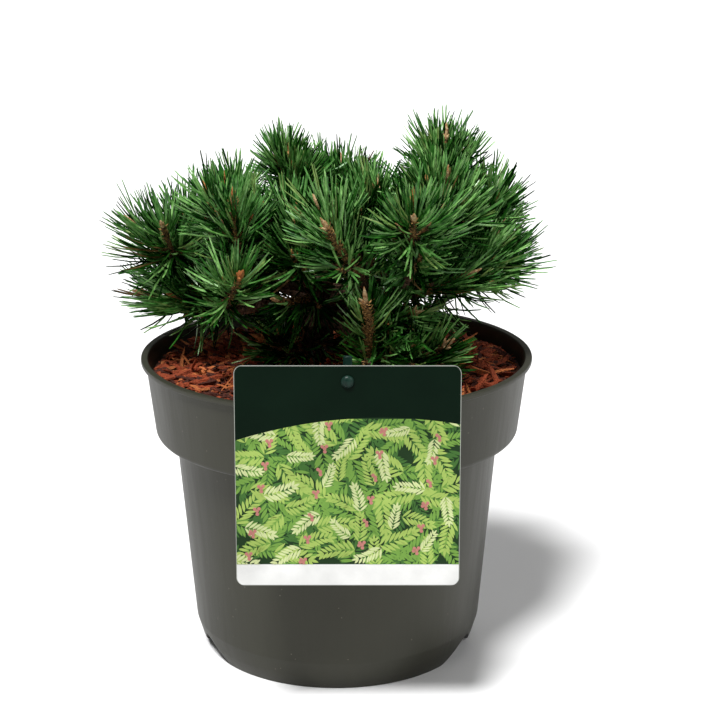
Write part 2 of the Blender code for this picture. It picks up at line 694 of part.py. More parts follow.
def build_mass(name, space, section, parts, workshop, material):
    """One mass of foliage: shoots with their buds from one stem, and needles sunk into them."""
    chance = random.Random(name + " needles")
    pieces = bpy.data.collections.new(name)
    workshop.children.link(pieces)
    stem = None
    for path in shoots_of(name):
        end = (path[-1] - path[-2]).normalized()
        points = path + [path[-1] + end * BUD_LENGTH * BUD_BELLY, path[-1] + end * BUD_LENGTH]
        slimming = (TWIG_TIP_RADIUS - TWIG_RADIUS) / TWIG_STEPS
        radii = [TWIG_RADIUS + slimming * i for i in range(TWIG_STEPS + 1)]
        radii += [BUD_RADIUS, BUD_TIP_RADIUS]
        twig = tube("twig", points, radii, 0, section, parts if stem is None else pieces)
        count = SIDE_NEEDLES if stem else LEADER_NEEDLES
        stem = stem or twig
        first, last = NEEDLE_ZONE
        for i in range(count):
            share = i / (count - 1)
            root, axis = along(path, first + (last - first) * share)
            turn = i * GOLDEN_ANGLE + chance.uniform(-NEEDLE_TURN_WANDER, NEEDLE_TURN_WANDER)
            radial = around(axis, turn)
            angle = NEEDLE_FIRST_ANGLE + (NEEDLE_LAST_ANGLE - NEEDLE_FIRST_ANGLE) * share
            angle = math.radians(angle + chance.uniform(-NEEDLE_ANGLE_WANDER, NEEDLE_ANGLE_WANDER))
            direction = axis * math.cos(angle) + radial * math.sin(angle)
            length = NEEDLE_LENGTH * chance.uniform(*NEEDLE_LENGTH_RANGE)
            tip = needle_of(space, name, root, direction, length)
            if tip:
                blade(root, tip, pieces)
    stem.name = "foliage_" + name
    union = stem.modifiers.new("fuse", "BOOLEAN")
    union.operation = "UNION"
    union.operand_type = "COLLECTION"
    union.collection = pieces
    union.solver = "MANIFOLD"
    mass = as_mesh_object(stem, "foliage_" + name, parts)
    for piece in list(pieces.objects):
        bpy.data.objects.remove(piece)
    bpy.data.collections.remove(pieces)
    biggest_shell(mass.data)
    mass.data.materials.clear()
    mass.data.materials.append(material)


def build_plant(parts, cutters):
    bark = finish("bark", (0.11, 0.055, 0.030), 0.9)
    needles = finish("needles", (0.030, 0.110, 0.022), 0.5)
    points = [trunk_point(part) for part, _ in TRUNK_RADII]
    radii = [radius * MM for _, radius in TRUNK_RADII]
    trunk = tube("trunk", points, radii, TRUNK_ROUNDNESS, None, parts)
    trunk.data.materials.append(bark)
    shade_round(trunk)
    found = limbs()
    for name, (points, radii) in found.items():
        bough = tube("bough_" + name, points, radii, BOUGH_ROUNDNESS, None, parts)
        bough.data.materials.append(bark)
        shade_round(bough)
    space = Space(found)
    section = three_sided_section(cutters)
    workshop = new_collection("workshop")
    for name in MASSES:
        build_mass(name, space, section, parts, workshop, needles)
    bpy.data.collections.remove(workshop)


def rounded_corners(width, height, radius, steps):
    """The corners of a rectangle about the origin, each rounded in a number of steps."""
    points = []
    for i, (right, up) in enumerate(((1, 1), (-1, 1), (-1, -1), (1, -1))):
        x = right * (width / 2 - radius)
        y = up * (height / 2 - radius)
        for step in range(steps + 1):
            turn = math.pi / 2 * (i + step / steps)
            points.append((x + radius * math.cos(turn), y + radius * math.sin(turn)))
    return points


def build_label(parts, cutters):
    """The printed plastic card, which hangs on the stake's peg and leans on the pot's lip."""
    outline = bpy.data.curves.new("label_card", "CURVE")
    outline.dimensions = "2D"
    outline.fill_mode = "BOTH"
    outline.extrude = CARD_THICKNESS / 2
    spline = outline.splines.new("POLY")
    corners = rounded_corners(CARD_WIDTH, CARD_HEIGHT, CARD_CORNER, 4)
    spline.points.add(len(corners) - 1)
    for spot, (x, y) in zip(spline.points, corners):
        spot.co = (x, y, 0, 1)
    spline.use_cyclic_u = True
    thing = bpy.data.objects.new("label_card", outline)
    parts.objects.link(thing)
    down = Vector((0, -math.sin(CARD_LEAN), -math.cos(CARD_LEAN)))
    thing.rotation_euler = (math.pi / 2 - CARD_LEAN, 0, 0)
    thing.location = CARD_TOP + down * (CARD_HEIGHT / 2)
    card = as_mesh_object(thing, "label_card", parts)
    centre = CARD_TOP + down * CARD_HOLE_DROP
    front = centre + Vector((0, -5 * MM, 0))
    back = centre + Vector((0, 5 * MM, 0))
    hole = rod("card_hole_cutter", CARD_HOLE_RADIUS, CARD_HOLE_RADIUS, front, back, 16, cutters)
    make_cutter(hole)
    use_boolean(card, hole, "DIFFERENCE")
    card.data.materials.append(finish("label card", (0.010, 0.035, 0.018), 0.3))
    return centre


def build_stake(parts, workshop, hole_centre):
    """The flat plastic stake in the soil, with a peg and knob that the card hangs on."""
    height = STAKE_TOP_HEIGHT - STAKE_FOOT_HEIGHT
    middle = Vector((CARD_TOP.x, STAKE_Y, STAKE_FOOT_HEIGHT + height / 2))
    stake = block("label_stake", (STAKE_WIDTH, STAKE_THICKNESS, height), middle, parts)
    peg_height = hole_centre.z + CARD_HOLE_RADIUS - PEG_RADIUS - GAP
    back = Vector((CARD_TOP.x, STAKE_Y, peg_height))
    lean = PEG_HEAD_RADIUS * math.tan(CARD_LEAN)
    card_front = hole_centre.y - CARD_THICKNESS / 2 - lean - GAP
    head_back = Vector((CARD_TOP.x, card_front, peg_height))
    head_front = head_back - Vector((0, PEG_HEAD_THICKNESS, 0))
    peg_end = head_back - Vector((0, PEG_HEAD_THICKNESS / 2, 0))
    peg = rod("peg", PEG_RADIUS, PEG_RADIUS, back, peg_end, 12, workshop)
    head = rod("peg_head", PEG_HEAD_RADIUS, PEG_HEAD_RADIUS * 0.6, head_back, head_front, 16, workshop)
    use_boolean(stake, peg, "UNION")
    use_boolean(stake, head, "UNION")
    stake = as_mesh_object(stake, "label_stake", parts)
    bpy.data.objects.remove(peg)
    bpy.data.objects.remove(head)
    stake.data.materials.append(finish("stake", (0.012, 0.060, 0.035), 0.4))


def stake_slot(cutters):
    """The slot that the stake's foot makes in the soil and the mulch."""
    size = (STAKE_WIDTH + 2 * GAP, STAKE_THICKNESS + 2 * GAP, 60 * MM)
    low = STAKE_FOOT_HEIGHT - GAP
    slot = block("stake_slot_cutter", size, Vector((CARD_TOP.x, STAKE_Y, low + 30 * MM)), cutters)
    make_cutter(slot)
    return slot


clear_scene()
plant_parts = new_collection("potted_mugo_pine")
plant_cutters = new_collection("cutters")
soil_slot = stake_slot(plant_cutters)
build_pot(plant_parts, plant_cutters)
build_root_ball(plant_parts, soil_slot)
build_mulch(plant_parts, plant_cutters, soil_slot)
build_plant(plant_parts, plant_cutters)
card_hole = build_label(plant_parts, plant_cutters)
build_stake(plant_parts, plant_cutters, card_hole)
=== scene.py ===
"""A young mugo pine in its nursery pot: pot, soil, bark mulch, trunk, boughs, needled shoots and label.

Metres, Z up. The pot's axis stands on the origin, and the label faces -Y.
"""

import math
import random

import bmesh
import bpy
import numpy as np
from mathutils import Matrix, Vector, noise


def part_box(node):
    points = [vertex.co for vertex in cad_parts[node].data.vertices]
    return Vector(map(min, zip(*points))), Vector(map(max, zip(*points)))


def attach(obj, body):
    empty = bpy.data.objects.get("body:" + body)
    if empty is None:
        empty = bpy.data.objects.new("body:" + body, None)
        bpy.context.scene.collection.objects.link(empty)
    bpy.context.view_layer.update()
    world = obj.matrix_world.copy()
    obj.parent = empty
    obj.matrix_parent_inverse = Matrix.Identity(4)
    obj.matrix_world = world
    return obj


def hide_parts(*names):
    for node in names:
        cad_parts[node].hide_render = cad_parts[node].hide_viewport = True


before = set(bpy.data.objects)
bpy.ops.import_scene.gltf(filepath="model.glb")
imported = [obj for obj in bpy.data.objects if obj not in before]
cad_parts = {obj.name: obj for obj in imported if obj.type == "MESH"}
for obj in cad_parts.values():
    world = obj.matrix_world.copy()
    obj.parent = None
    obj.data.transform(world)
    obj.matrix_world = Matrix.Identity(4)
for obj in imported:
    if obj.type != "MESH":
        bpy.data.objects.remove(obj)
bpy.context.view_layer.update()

# The pot
# A five litre nursery pot, blow moulded in one piece from recycled black plastic. A tapering body
# steps out to a wider collar under a thin flat lip, and three arched notches drain the foot ring.

MM = 0.001
POT_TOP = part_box("pot")[1]
RIM_RADIUS = POT_TOP[0]
RIM_HEIGHT = POT_TOP[2]
LIP_DEPTH = 2.6 * MM
COLLAR_TOP_RADIUS = RIM_RADIUS - 2.9 * MM
COLLAR_FOOT_RADIUS = RIM_RADIUS - 7.7 * MM
COLLAR_FOOT_HEIGHT = 136.0 * MM
BODY_TOP_RADIUS = RIM_RADIUS - 19.4 * MM
BODY_TOP_HEIGHT = 133.0 * MM
BODY_FOOT_RADIUS = RIM_RADIUS - 29.2 * MM
BODY_FOOT_HEIGHT = 18.0 * MM
FOOT_RADIUS = RIM_RADIUS - 35.4 * MM
FOOT_RING_WIDTH = 1.8 * MM
CENTRE_FOOT_RADIUS = 12.0 * MM
FLOOR_HEIGHT = 15.5 * MM
FLOOR_THICKNESS = 2.0 * MM
WALL = 1.5 * MM
POT_STEPS = 192
POT_SOFTNESS = 0.7 * MM
SHELF_DROP = 0.4 * MM
FOOT_TAPER = 3.2 * MM
NOTCH_ANGLES = (-24, -156, 90)
NOTCH_HALF_WIDTH = 24.0 * MM
NOTCH_HEIGHT = 12.7 * MM
NOTCH_FOOT = -2.0 * MM
NOTCH_CUT = 18.0 * MM
NOTCH_STEPS = 32
DRAIN_HOLES = 6
DRAIN_FIRST = 0.37
DRAIN_RADIUS = 6.0 * MM
DRAIN_CIRCLE = 60.0 * MM
DRAIN_CUT = 10.0 * MM
ROUND_SIDES = 32
POT_EDGE = math.radians(32)
POT_BLACK = (0.0225, 0.0230, 0.0165)
POT_WORN = (0.044, 0.044, 0.032)
POT_DUST = (0.16, 0.14, 0.11)
POT_SHEEN = (1.0, 0.98, 0.86, 1.0)


def add_object(name, data):
    """A new object in the scene, made of a mesh, a curve, a lamp or a camera."""
    thing = bpy.data.objects.new(name, data)
    bpy.context.scene.collection.objects.link(thing)
    return thing


def place_piece(name, mesh, finish, nodes=()):
    """Puts a mesh in the scene as one piece of the potted plant, in place of some of its solids."""
    mesh.name = name
    mesh.materials.append(finish)
    piece = add_object(name, mesh)
    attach(piece, "root")
    if nodes:
        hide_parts(*nodes)


def mesh_from_arrays(points, triangles, smooth=True):
    """A mesh from an array of points and an array of triangles."""
    mesh = bpy.data.meshes.new("piece")
    mesh.vertices.add(len(points))
    mesh.vertices.foreach_set("co", np.ascontiguousarray(points, np.float32).ravel())
    mesh.loops.add(len(triangles) * 3)
    mesh.loops.foreach_set("vertex_index", np.ascontiguousarray(triangles, np.int32).ravel())
    mesh.polygons.add(len(triangles))
    mesh.polygons.foreach_set("loop_start", np.arange(0, len(triangles) * 3, 3, dtype=np.int32))
    mesh.polygons.foreach_set("use_smooth", np.full(len(triangles), smooth))
    mesh.update(calc_edges=True)
    mesh.validate()
    return mesh


def soften(path, reach, steps):
    """The path with each inner corner rounded, from a reach before it to a reach after it."""
    soft = [path[0]]
    for before, corner, after in zip(path, path[1:], path[2:]):
        back = before - corner
        on = after - corner
        cut = min(reach, back.length * 0.45, on.length * 0.45)
        start = corner + back.normalized() * cut
        end = corner + on.normalized() * cut
        for i in range(steps + 1):
            t = i / steps
            soft.append(start * (1 - t) ** 2 + corner * (2 * t * (1 - t)) + end * t**2)
    soft.append(path[-1])
    return soft


def baked_mesh(thing):
    """The mesh of what an object looks like with its modifiers on. The object is removed."""
    bpy.context.view_layer.update()
    graph = bpy.context.evaluated_depsgraph_get()
    mesh = bpy.data.meshes.new_from_object(thing.evaluated_get(graph))
    mesh.transform(thing.matrix_world)
    bpy.data.objects.remove(thing)
    return mesh


def wall_radius(height):
    """The radius of the pot's inner wall at a height."""
    if height < COLLAR_FOOT_HEIGHT:
        part = (height - BODY_FOOT_HEIGHT) / (BODY_TOP_HEIGHT - BODY_FOOT_HEIGHT)
        return BODY_FOOT_RADIUS + (BODY_TOP_RADIUS - BODY_FOOT_RADIUS) * part - WALL
    part = (height - COLLAR_FOOT_HEIGHT) / (RIM_HEIGHT - LIP_DEPTH - COLLAR_FOOT_HEIGHT)
    return COLLAR_FOOT_RADIUS + (COLLAR_TOP_RADIUS - COLLAR_FOOT_RADIUS) * part - WALL


def pot_profile():
    """The pot's section, from the middle of its floor up the inside, over the lip and down."""
    floor_bottom = FLOOR_HEIGHT - FLOOR_THICKNESS
    shelf = COLLAR_FOOT_HEIGHT - SHELF_DROP
    lip_foot = RIM_HEIGHT - LIP_DEPTH
    ring_inside = FOOT_RADIUS - FOOT_RING_WIDTH
    corners = [
        (0, FLOOR_HEIGHT),
        (BODY_FOOT_RADIUS - WALL, FLOOR_HEIGHT),
        (BODY_TOP_RADIUS - WALL, shelf),
        (COLLAR_FOOT_RADIUS - WALL, shelf),
        (wall_radius(lip_foot), lip_foot),
        (COLLAR_TOP_RADIUS - WALL + 0.5 * MM, RIM_HEIGHT),
        (RIM_RADIUS, RIM_HEIGHT),
        (RIM_RADIUS, lip_foot),
        (COLLAR_TOP_RADIUS, lip_foot - 0.8 * MM),
        (COLLAR_FOOT_RADIUS, COLLAR_FOOT_HEIGHT),
        (COLLAR_FOOT_RADIUS - 1 * MM, COLLAR_FOOT_HEIGHT - 1.9 * MM),
        (BODY_TOP_RADIUS, BODY_TOP_HEIGHT + SHELF_DROP),
        (BODY_FOOT_RADIUS, BODY_FOOT_HEIGHT),
        (FOOT_RADIUS + FOOT_TAPER, 8 * MM),
        (FOOT_RADIUS, 0),
        (ring_inside, 0),
        (ring_inside + FOOT_TAPER, floor_bottom),
        (CENTRE_FOOT_RADIUS + 1 * MM, floor_bottom),
        (CENTRE_FOOT_RADIUS, 0),
        (0, 0),
    ]
    return soften([Vector(corner) for corner in corners], POT_SOFTNESS, 2)


def turned_mesh(profile):
    """The mesh that a profile of (radius, height) points sweeps round Z."""
    line = bpy.data.meshes.new("profile")
    points = [(radius, 0, height) for radius, height in profile]
    line.from_pydata(points, [(i, i + 1) for i in range(len(points) - 1)], [])
    thing = add_object("profile", line)
    screw = thing.modifiers.new("turn", "SCREW")
    screw.steps = POT_STEPS
    screw.render_steps = POT_STEPS
    screw.use_merge_vertices = True
    screw.merge_threshold = 0.01 * MM
    return baked_mesh(thing)


def finished(work):
    """The mesh of what was worked on in bmesh."""
    mesh = bpy.data.meshes.new("work")
    work.to_mesh(mesh)
    work.free()
    return mesh


def cut_sheet(outlines, thickness, turn, spot):
    """The mesh of a flat sheet with an outline and holes, turned and moved to its spot."""
    curve = bpy.data.curves.new("sheet", "CURVE")
    curve.dimensions = "2D"
    curve.fill_mode = "BOTH"
    curve.extrude = thickness / 2
    for outline in outlines:
        spline = curve.splines.new("POLY")
        spline.points.add(len(outline) - 1)
        for point, (x, y) in zip(spline.points, outline):
            point.co = (x, y, 0, 1)
        spline.use_cyclic_u = True
    sheet = add_object("sheet", curve)
    sheet.rotation_euler = turn
    sheet.location = spot
    work = bmesh.new()
    work.from_mesh(baked_mesh(sheet))
    bmesh.ops.remove_doubles(work, verts=work.verts, dist=0.001 * MM)
    return finished(work)


def notch_cutter(angle):
    """A prism under a cosine arch, which cuts one drainage notch through the foot ring."""
    outline = [(-NOTCH_HALF_WIDTH, NOTCH_FOOT)]
    for i in range(NOTCH_STEPS + 1):
        across = -1 + 2 * i / NOTCH_STEPS
        outline.append((across * NOTCH_HALF_WIDTH, NOTCH_HEIGHT * (1 + math.cos(math.pi * across)) / 2))
    outline.append((NOTCH_HALF_WIDTH, NOTCH_FOOT))
    turn = math.radians(angle)
    middle = FOOT_RADIUS + 1 * MM
    spot = (middle * math.cos(turn), middle * math.sin(turn), 0)
    return cut_sheet([outline], NOTCH_CUT, (math.pi / 2, 0, turn + math.pi / 2), spot)


def add_bar(work, radius, length, pose):
    """Adds a round bar to what is being worked on in bmesh."""
    bmesh.ops.create_cone(
        work,
        cap_ends=True,
        segments=ROUND_SIDES,
        radius1=radius,
        radius2=radius,
        depth=length,
        matrix=pose,
    )


def drain_cutter(turn):
    """A round bar that cuts one drain hole through the floor."""
    work = bmesh.new()
    spot = (DRAIN_CIRCLE * math.cos(turn), DRAIN_CIRCLE * math.sin(turn), FLOOR_HEIGHT)
    add_bar(work, DRAIN_RADIUS, DRAIN_CUT, Matrix.Translation(spot))
    return finished(work)


def cut_away(mesh, cutters):
    """The mesh with each cutter's shape taken out of it."""
    thing = add_object("uncut", mesh)
    tools = [add_object("cutter", cutter) for cutter in cutters]
    for tool in tools:
        thing.modifiers.new("cut", "BOOLEAN").object = tool
    cut_mesh = baked_mesh(thing)
    for tool in tools:
        bpy.data.objects.remove(tool)
    return cut_mesh


def effect_group(name, inputs):
    """A shader node group with named number inputs that puts out a mask, and its two ends."""
    tree = bpy.data.node_groups.new(name, "ShaderNodeTree")
    for label, value in inputs.items():
        socket = tree.interface.new_socket(label, in_out="INPUT", socket_type="NodeSocketFloat")
        socket.default_value = value
    tree.interface.new_socket("Mask", in_out="OUTPUT", socket_type="NodeSocketFloat")
    return tree, tree.nodes.new("NodeGroupInput").outputs, tree.nodes.new("NodeGroupOutput").inputs


def add_node(tree, kind, settings=None, **inputs):
    """A shader node with its settings, and its inputs set to values or linked to other sockets."""
    node = tree.nodes.new("ShaderNode" + kind)
    for label, value in (settings or {}).items():
        setattr(node, label, value)
    for label, value in inputs.items():
        socket = node.inputs[int(label[2:]) if label.startswith("at") else label]
        if isinstance(value, bpy.types.NodeSocket):
            tree.links.new(value, socket)
        else:
            socket.default_value = value
    return node


def maths(tree, operation, *values, clamp=False):
    """The socket with the result of a Math node on numbers or sockets."""
    inputs = {f"at{i}": value for i, value in enumerate(values)}
    return add_node(tree, "Math", {"operation": operation, "use_clamp": clamp}, **inputs).outputs[0]


def cloud_group():
    """Soft clouds of tone: a mask from noise of a grain size in mm, stretched up and down."""
    tree, given, result = effect_group("tone clouds", {"Grain": 10.0, "Stretch": 1.0, "Contrast": 2.0})
    spot = add_node(tree, "TexCoord").outputs["Object"]
    shape = add_node(tree, "CombineXYZ", X=1.0, Y=1.0, Z=maths(tree, "DIVIDE", 1.0, given["Stretch"]))
    flat = add_node(tree, "VectorMath", {"operation": "MULTIPLY"}, at0=spot, at1=shape.outputs[0])
    scale = maths(tree, "DIVIDE", 1000.0, given["Grain"])
    field = add_node(tree, "TexNoise", Vector=flat.outputs[0], Scale=scale, Detail=4.0)
    centred = maths(tree, "SUBTRACT", field.outputs["Fac"], 0.5)
    spread = maths(tree, "MULTIPLY", centred, given["Contrast"])
    tree.links.new(maths(tree, "ADD", spread, 0.5, clamp=True), result["Mask"])
    return tree


def speck_group():
    """Sparse small specks, as of dust or soil: a mask from cells of a size in mm."""
    tree, given, result = effect_group("specks", {"Spacing": 6.0, "Size": 0.1})
    spot = add_node(tree, "TexCoord").outputs["Object"]
    scale = maths(tree, "DIVIDE", 1000.0, given["Spacing"])
    cells = add_node(tree, "TexVoronoi", Vector=spot, Scale=scale)
    tree.links.new(maths(tree, "LESS_THAN", cells.outputs["Distance"], given["Size"]), result["Mask"])
    return tree


CLOUDS = cloud_group()
SPECKS = speck_group()


class Finish:
    """A material with one Principled shader, whose colour and relief are built up from masks."""

    def __init__(self, name, colour, roughness, specular=0.5):
        self.material = bpy.data.materials.new(name)
        self.material.use_nodes = True
        self.tree = self.material.node_tree
        self.shader = self.tree.nodes["Principled BSDF"]
        self.shader.inputs["Roughness"].default_value = roughness
        self.shader.inputs["Specular IOR Level"].default_value = specular
        self.shader.inputs["Base Color"].default_value = (*colour, 1)
        self.colour = (*colour, 1)

    def effect(self, group, **values):
        """One use of an effect, with its own values: the socket of its mask."""
        return add_node(self.tree, "Group", {"node_tree": group}, **values).outputs["Mask"]

    def tint(self, mask, colour, strength=1.0):
        """Lays a colour over what is there, as strongly as the mask says."""
        if strength < 1:
            mask = maths(self.tree, "MULTIPLY", mask, strength)
        mix = add_node(self.tree, "Mix", {"data_type": "RGBA"}, Factor=mask, A=self.colour, B=(*colour, 1))
        self.colour = mix.outputs["Result"]
        self.tree.links.new(self.colour, self.shader.inputs["Base Color"])
        return self

    def gloss(self, mask, low, high):
        """The roughness runs from low to high with the mask."""
        reach = add_node(self.tree, "MapRange", at0=mask, at3=low, at4=high)
        self.tree.links.new(reach.outputs[0], self.shader.inputs["Roughness"])
        return self

    def relief(self, mask, depth):
        """A bump of that depth, in metres, where the mask is full."""
        normal = self.shader.inputs["Normal"]
        bump = add_node(self.tree, "Bump", Height=mask, Distance=depth, Strength=1.0)
        if normal.links:
            self.tree.links.new(normal.links[0].from_socket, bump.inputs["Normal"])
        self.tree.links.new(bump.outputs[0], normal)
        return self


def pot_finish():
    """Recycled black plastic: satin, with faint vertical flow marks, clouds of wear and dust specks."""
    finish = Finish("recycled black plastic", POT_BLACK, roughness=0.36)
    finish.shader.inputs["Specular Tint"].default_value = POT_SHEEN
    wear = finish.effect(CLOUDS, Grain=55.0, Stretch=1.6, Contrast=1.8)
    flow = finish.effect(CLOUDS, Grain=7.0, Stretch=14.0, Contrast=2.2)
    dust = finish.effect(SPECKS, Spacing=7.0, Size=0.055)
    skin = finish.effect(CLOUDS, Grain=0.7, Contrast=2.0)
    finish.tint(wear, POT_WORN, 0.75).tint(flow, POT_WORN, 0.35).tint(dust, POT_DUST, 0.8)
    finish.gloss(flow, 0.33, 0.43)
    return finish.relief(skin, 0.03 * MM).relief(flow, 0.08 * MM).material


cutters = [notch_cutter(angle) for angle in NOTCH_ANGLES]
cutters += [drain_cutter(math.tau * (i + DRAIN_FIRST) / DRAIN_HOLES) for i in range(DRAIN_HOLES)]
pot_mesh = cut_away(turned_mesh(pot_profile()), cutters)
pot_mesh.shade_smooth()
pot_mesh.set_sharp_from_angle(angle=POT_EDGE)
place_piece("pot_shell", pot_mesh, pot_finish(), ["pot"])

# The root ball
# Dark potting soil held together by fine roots. It keeps the plain shape of its solid, because
# only the drain holes show it, and gets a damp crumbly finish.

SOIL = (0.020, 0.013, 0.009)
SOIL_CRUMB = (0.060, 0.038, 0.024)
SOIL_ROOT = (0.16, 0.11, 0.07)


def soil_finish():
    """Damp peat soil with paler crumbs and roots."""
    finish = Finish("damp potting soil", SOIL, roughness=0.95, specular=0.2)
    crumbs = finish.effect(CLOUDS, Grain=4.0, Contrast=4.0)
    roots = finish.effect(CLOUDS, Grain=1.2, Stretch=5.0, Contrast=5.0)
    finish.tint(crumbs, SOIL_CRUMB).tint(roots, SOIL_ROOT, 0.3)
    return finish.relief(crumbs, 1.2 * MM).material


root_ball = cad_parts["root_ball"]
root_ball.data.materials.clear()
root_ball.data.materials.append(soil_finish())

# The bark mulch
# A shallow layer of shredded pine bark on the soil: splintered chips up to 30 mm long, reddish
# brown outside and tan where they broke, with fine crumbs between. They lie loose on each other.

MULCH_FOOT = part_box("bark_mulch")[0][2]
MULCH_MIDDLE_HEIGHT = 175.0 * MM
MULCH_EDGE_HEIGHT = 168.5 * MM
MULCH_REACH = wall_radius(MULCH_EDGE_HEIGHT) - 0.5 * MM
MULCH_HUMPS = (45, 2.0 * MM)
MULCH_LUMPS = (160, 0.8 * MM)
BED_RINGS = 46
BED_SIDES = 128
BED_BROWN = (0.085, 0.028, 0.013)
TRUNK_MIDDLE = Vector((-12, 14, 0)) * MM
TRUNK_HOLE_RADIUS = 11.0 * MM
TRUNK_CLEARING = 15 * MM
STAKE_MIDDLE = Vector((7.2, -101, 0)) * MM
STAKE_CLEARING = 4 * MM
CHIP_TILT = 14
CHIP_ROLL = 22

# Each kind's colour, how many there are, and their lengths and widths in mm.
CHIP_KINDS = {
    "russet": ((0.270, 0.046, 0.012), 1250, (9, 27), (1.6, 4.8)),
    "tan": ((0.480, 0.140, 0.040), 560, (8, 30), (1.2, 4.2)),
    "umber": ((0.060, 0.012, 0.005), 800, (6, 20), (1.6, 5.0)),
    "crumb": ((0.160, 0.030, 0.009), 3000, (2, 7), (0.8, 2.2)),
}
CHIP_STATIONS = 5
CRUMB_STATIONS = 3


def mulch_height(x, y):
    """The mulch's top at a place: a low dome with shallow humps."""
    reach = math.hypot(x, y) / wall_radius(MULCH_EDGE_HEIGHT)
    dome = MULCH_MIDDLE_HEIGHT - (MULCH_MIDDLE_HEIGHT - MULCH_EDGE_HEIGHT) * reach**2.4
    humps = noise.noise(Vector((x, y, 0)) * MULCH_HUMPS[0]) * MULCH_HUMPS[1]
    return dome + humps + noise.noise(Vector((x, y, 1)) * MULCH_LUMPS[0]) * MULCH_LUMPS[1]


def tube_faces(rings, sides):
    """The triangles of a tube's wall, whose points stand in rings, one after another."""
    faces = []
    for i in range(rings - 1):
        for k in range(sides):
            a = i * sides + k
            b = i * sides + (k + 1) % sides
            faces += [(a, b, b + sides), (a, b + sides, a + sides)]
    return faces


def copies(faces, count, points_each):
    """The triangles of a number of like shapes, from the triangles of one."""
    firsts = np.arange(count) * points_each
    return (np.array(faces)[None] + firsts[:, None, None]).reshape(-1, 3)


def mulch_bed():
    """The bed under the chips: rings of points from the wall in to the trunk, closed below."""
    points = []
    for ring in range(BED_RINGS + 2):
        share = min(max(ring - 1, 0) / (BED_RINGS - 1), 1)
        low = ring in (0, BED_RINGS + 1)
        for side in range(BED_SIDES):
            turn = math.tau * side / BED_SIDES
            edge = Vector((MULCH_REACH * math.cos(turn), MULCH_REACH * math.sin(turn), 0))
            hole = TRUNK_MIDDLE + Vector((math.cos(turn), math.sin(turn), 0)) * TRUNK_HOLE_RADIUS
            spot = edge.lerp(hole, share)
            points.append((spot.x, spot.y, MULCH_FOOT if low else mulch_height(spot.x, spot.y)))
    return mesh_from_arrays(points, np.array(tube_faces(BED_RINGS + 3, BED_SIDES)) % len(points))


def chip_corners(count, length, width, thick, chance):
    """The corners of one splintered chip: four at each of a few stations along it."""
    corners = []
    bend = chance.uniform(-0.12, 0.12) * length
    for i in range(count):
        share = i / (count - 1)
        body = math.sin(math.pi * min(max(share, 0.06), 0.94)) ** 0.45
        wide = width * body * chance.uniform(0.7, 1.15) / 2
        high = thick * body * chance.uniform(0.6, 1.2) / 2
        x = (share - 0.5) * length
        y = bend * (2 * share - 1) ** 2 + chance.uniform(-0.1, 0.1) * width
        z = chance.uniform(-0.15, 0.15) * thick
        skew = chance.uniform(-0.06, 0.06) * length
        corners += [
            (x - skew, y - wide, z - high),
            (x + skew, y + wide, z - high * 0.7),
            (x + skew, y + wide * 0.8, z + high * 0.8),
            (x - skew, y - wide * 0.7, z + high),
        ]
    return corners


def chip_layer(kind, count, lengths, widths):
    """Chips of one kind, strewn over the mulch and joined in one mesh."""
    chance = random.Random("mulch " + kind)
    stations = CRUMB_STATIONS if kind == "crumb" else CHIP_STATIONS
    points = []
    while len(points) < count * stations * 4:
        turn = chance.uniform(0, math.tau)
        reach = MULCH_REACH * math.sqrt(chance.random())
        x = reach * math.cos(turn)
        y = reach * math.sin(turn)
        length = chance.uniform(*lengths) * chance.uniform(0.5, 1) * MM
        spot = Vector((x, y, 0))
        if (spot - TRUNK_MIDDLE).length < TRUNK_CLEARING + length / 4 or reach + length / 2 > MULCH_REACH:
            continue
        if (spot - STAKE_MIDDLE).length < STAKE_CLEARING + length / 2:
            continue
        width = chance.uniform(*widths) * MM
        thick = width * chance.uniform(0.25, 0.6)
        tilt = math.radians(chance.gauss(0, CHIP_TILT))
        roll = math.radians(chance.gauss(0, CHIP_ROLL))
        lift = thick * 0.3 + chance.uniform(0, 1.5) * MM
        rest = Vector((x, y, mulch_height(x, y) + lift + abs(math.sin(tilt)) * length * 0.3))
        spin = Matrix.Rotation(chance.uniform(0, math.tau), 4, "Z")
        spin = Matrix.Translation(rest) @ spin @ Matrix.Rotation(tilt, 4, "Y") @ Matrix.Rotation(roll, 4, "X")
        points += [spin @ Vector(corner) for corner in chip_corners(stations, length, width, thick, chance)]
    last = 4 * (stations - 1)
    faces = [(c, b, a) for a, b, c in tube_faces(stations, 4)]
    faces += [(0, 1, 2), (0, 2, 3), (last, last + 2, last + 1), (last, last + 3, last + 2)]
    return mesh_from_arrays(points, copies(faces, count, 4 * stations), smooth=False)


def dimmed(colour, part):
    """A colour at a part of its brightness."""
    return tuple(channel * part for channel in colour)


def bark_chip_finish(name, colour):
    """Torn bark: fibrous and matt, darker in its pores and paler on raised fibres."""
    finish = Finish(name, colour, roughness=0.82, specular=0.3)
    pale = tuple(min(channel * 1.9 + 0.02, 1) for channel in colour)
    patches = finish.effect(CLOUDS, Grain=9.0, Contrast=2.6)
    fibres = finish.effect(CLOUDS, Grain=0.9, Contrast=3.6)
    finish.tint(patches, dimmed(colour, 0.35), 0.7).tint(fibres, pale, 0.45)
    return finish.relief(fibres, 0.5 * MM).material


bed_finish = bark_chip_finish("mulch bed", BED_BROWN)
place_piece("mulch_bed", mulch_bed(), bed_finish, ["bark_mulch"])
for kind, (colour, count, lengths, widths) in CHIP_KINDS.items():
    layer = chip_layer(kind, count, lengths, widths)
    place_piece("mulch_" + kind, layer, bark_chip_finish("bark " + kind, colour))

# The trunk
# A short, leaning, slightly bowed stem of the grown pine, flared at the soil and forked low.
# Its bark is dark brown and breaks into small scales, with leaf scars in spirals above.

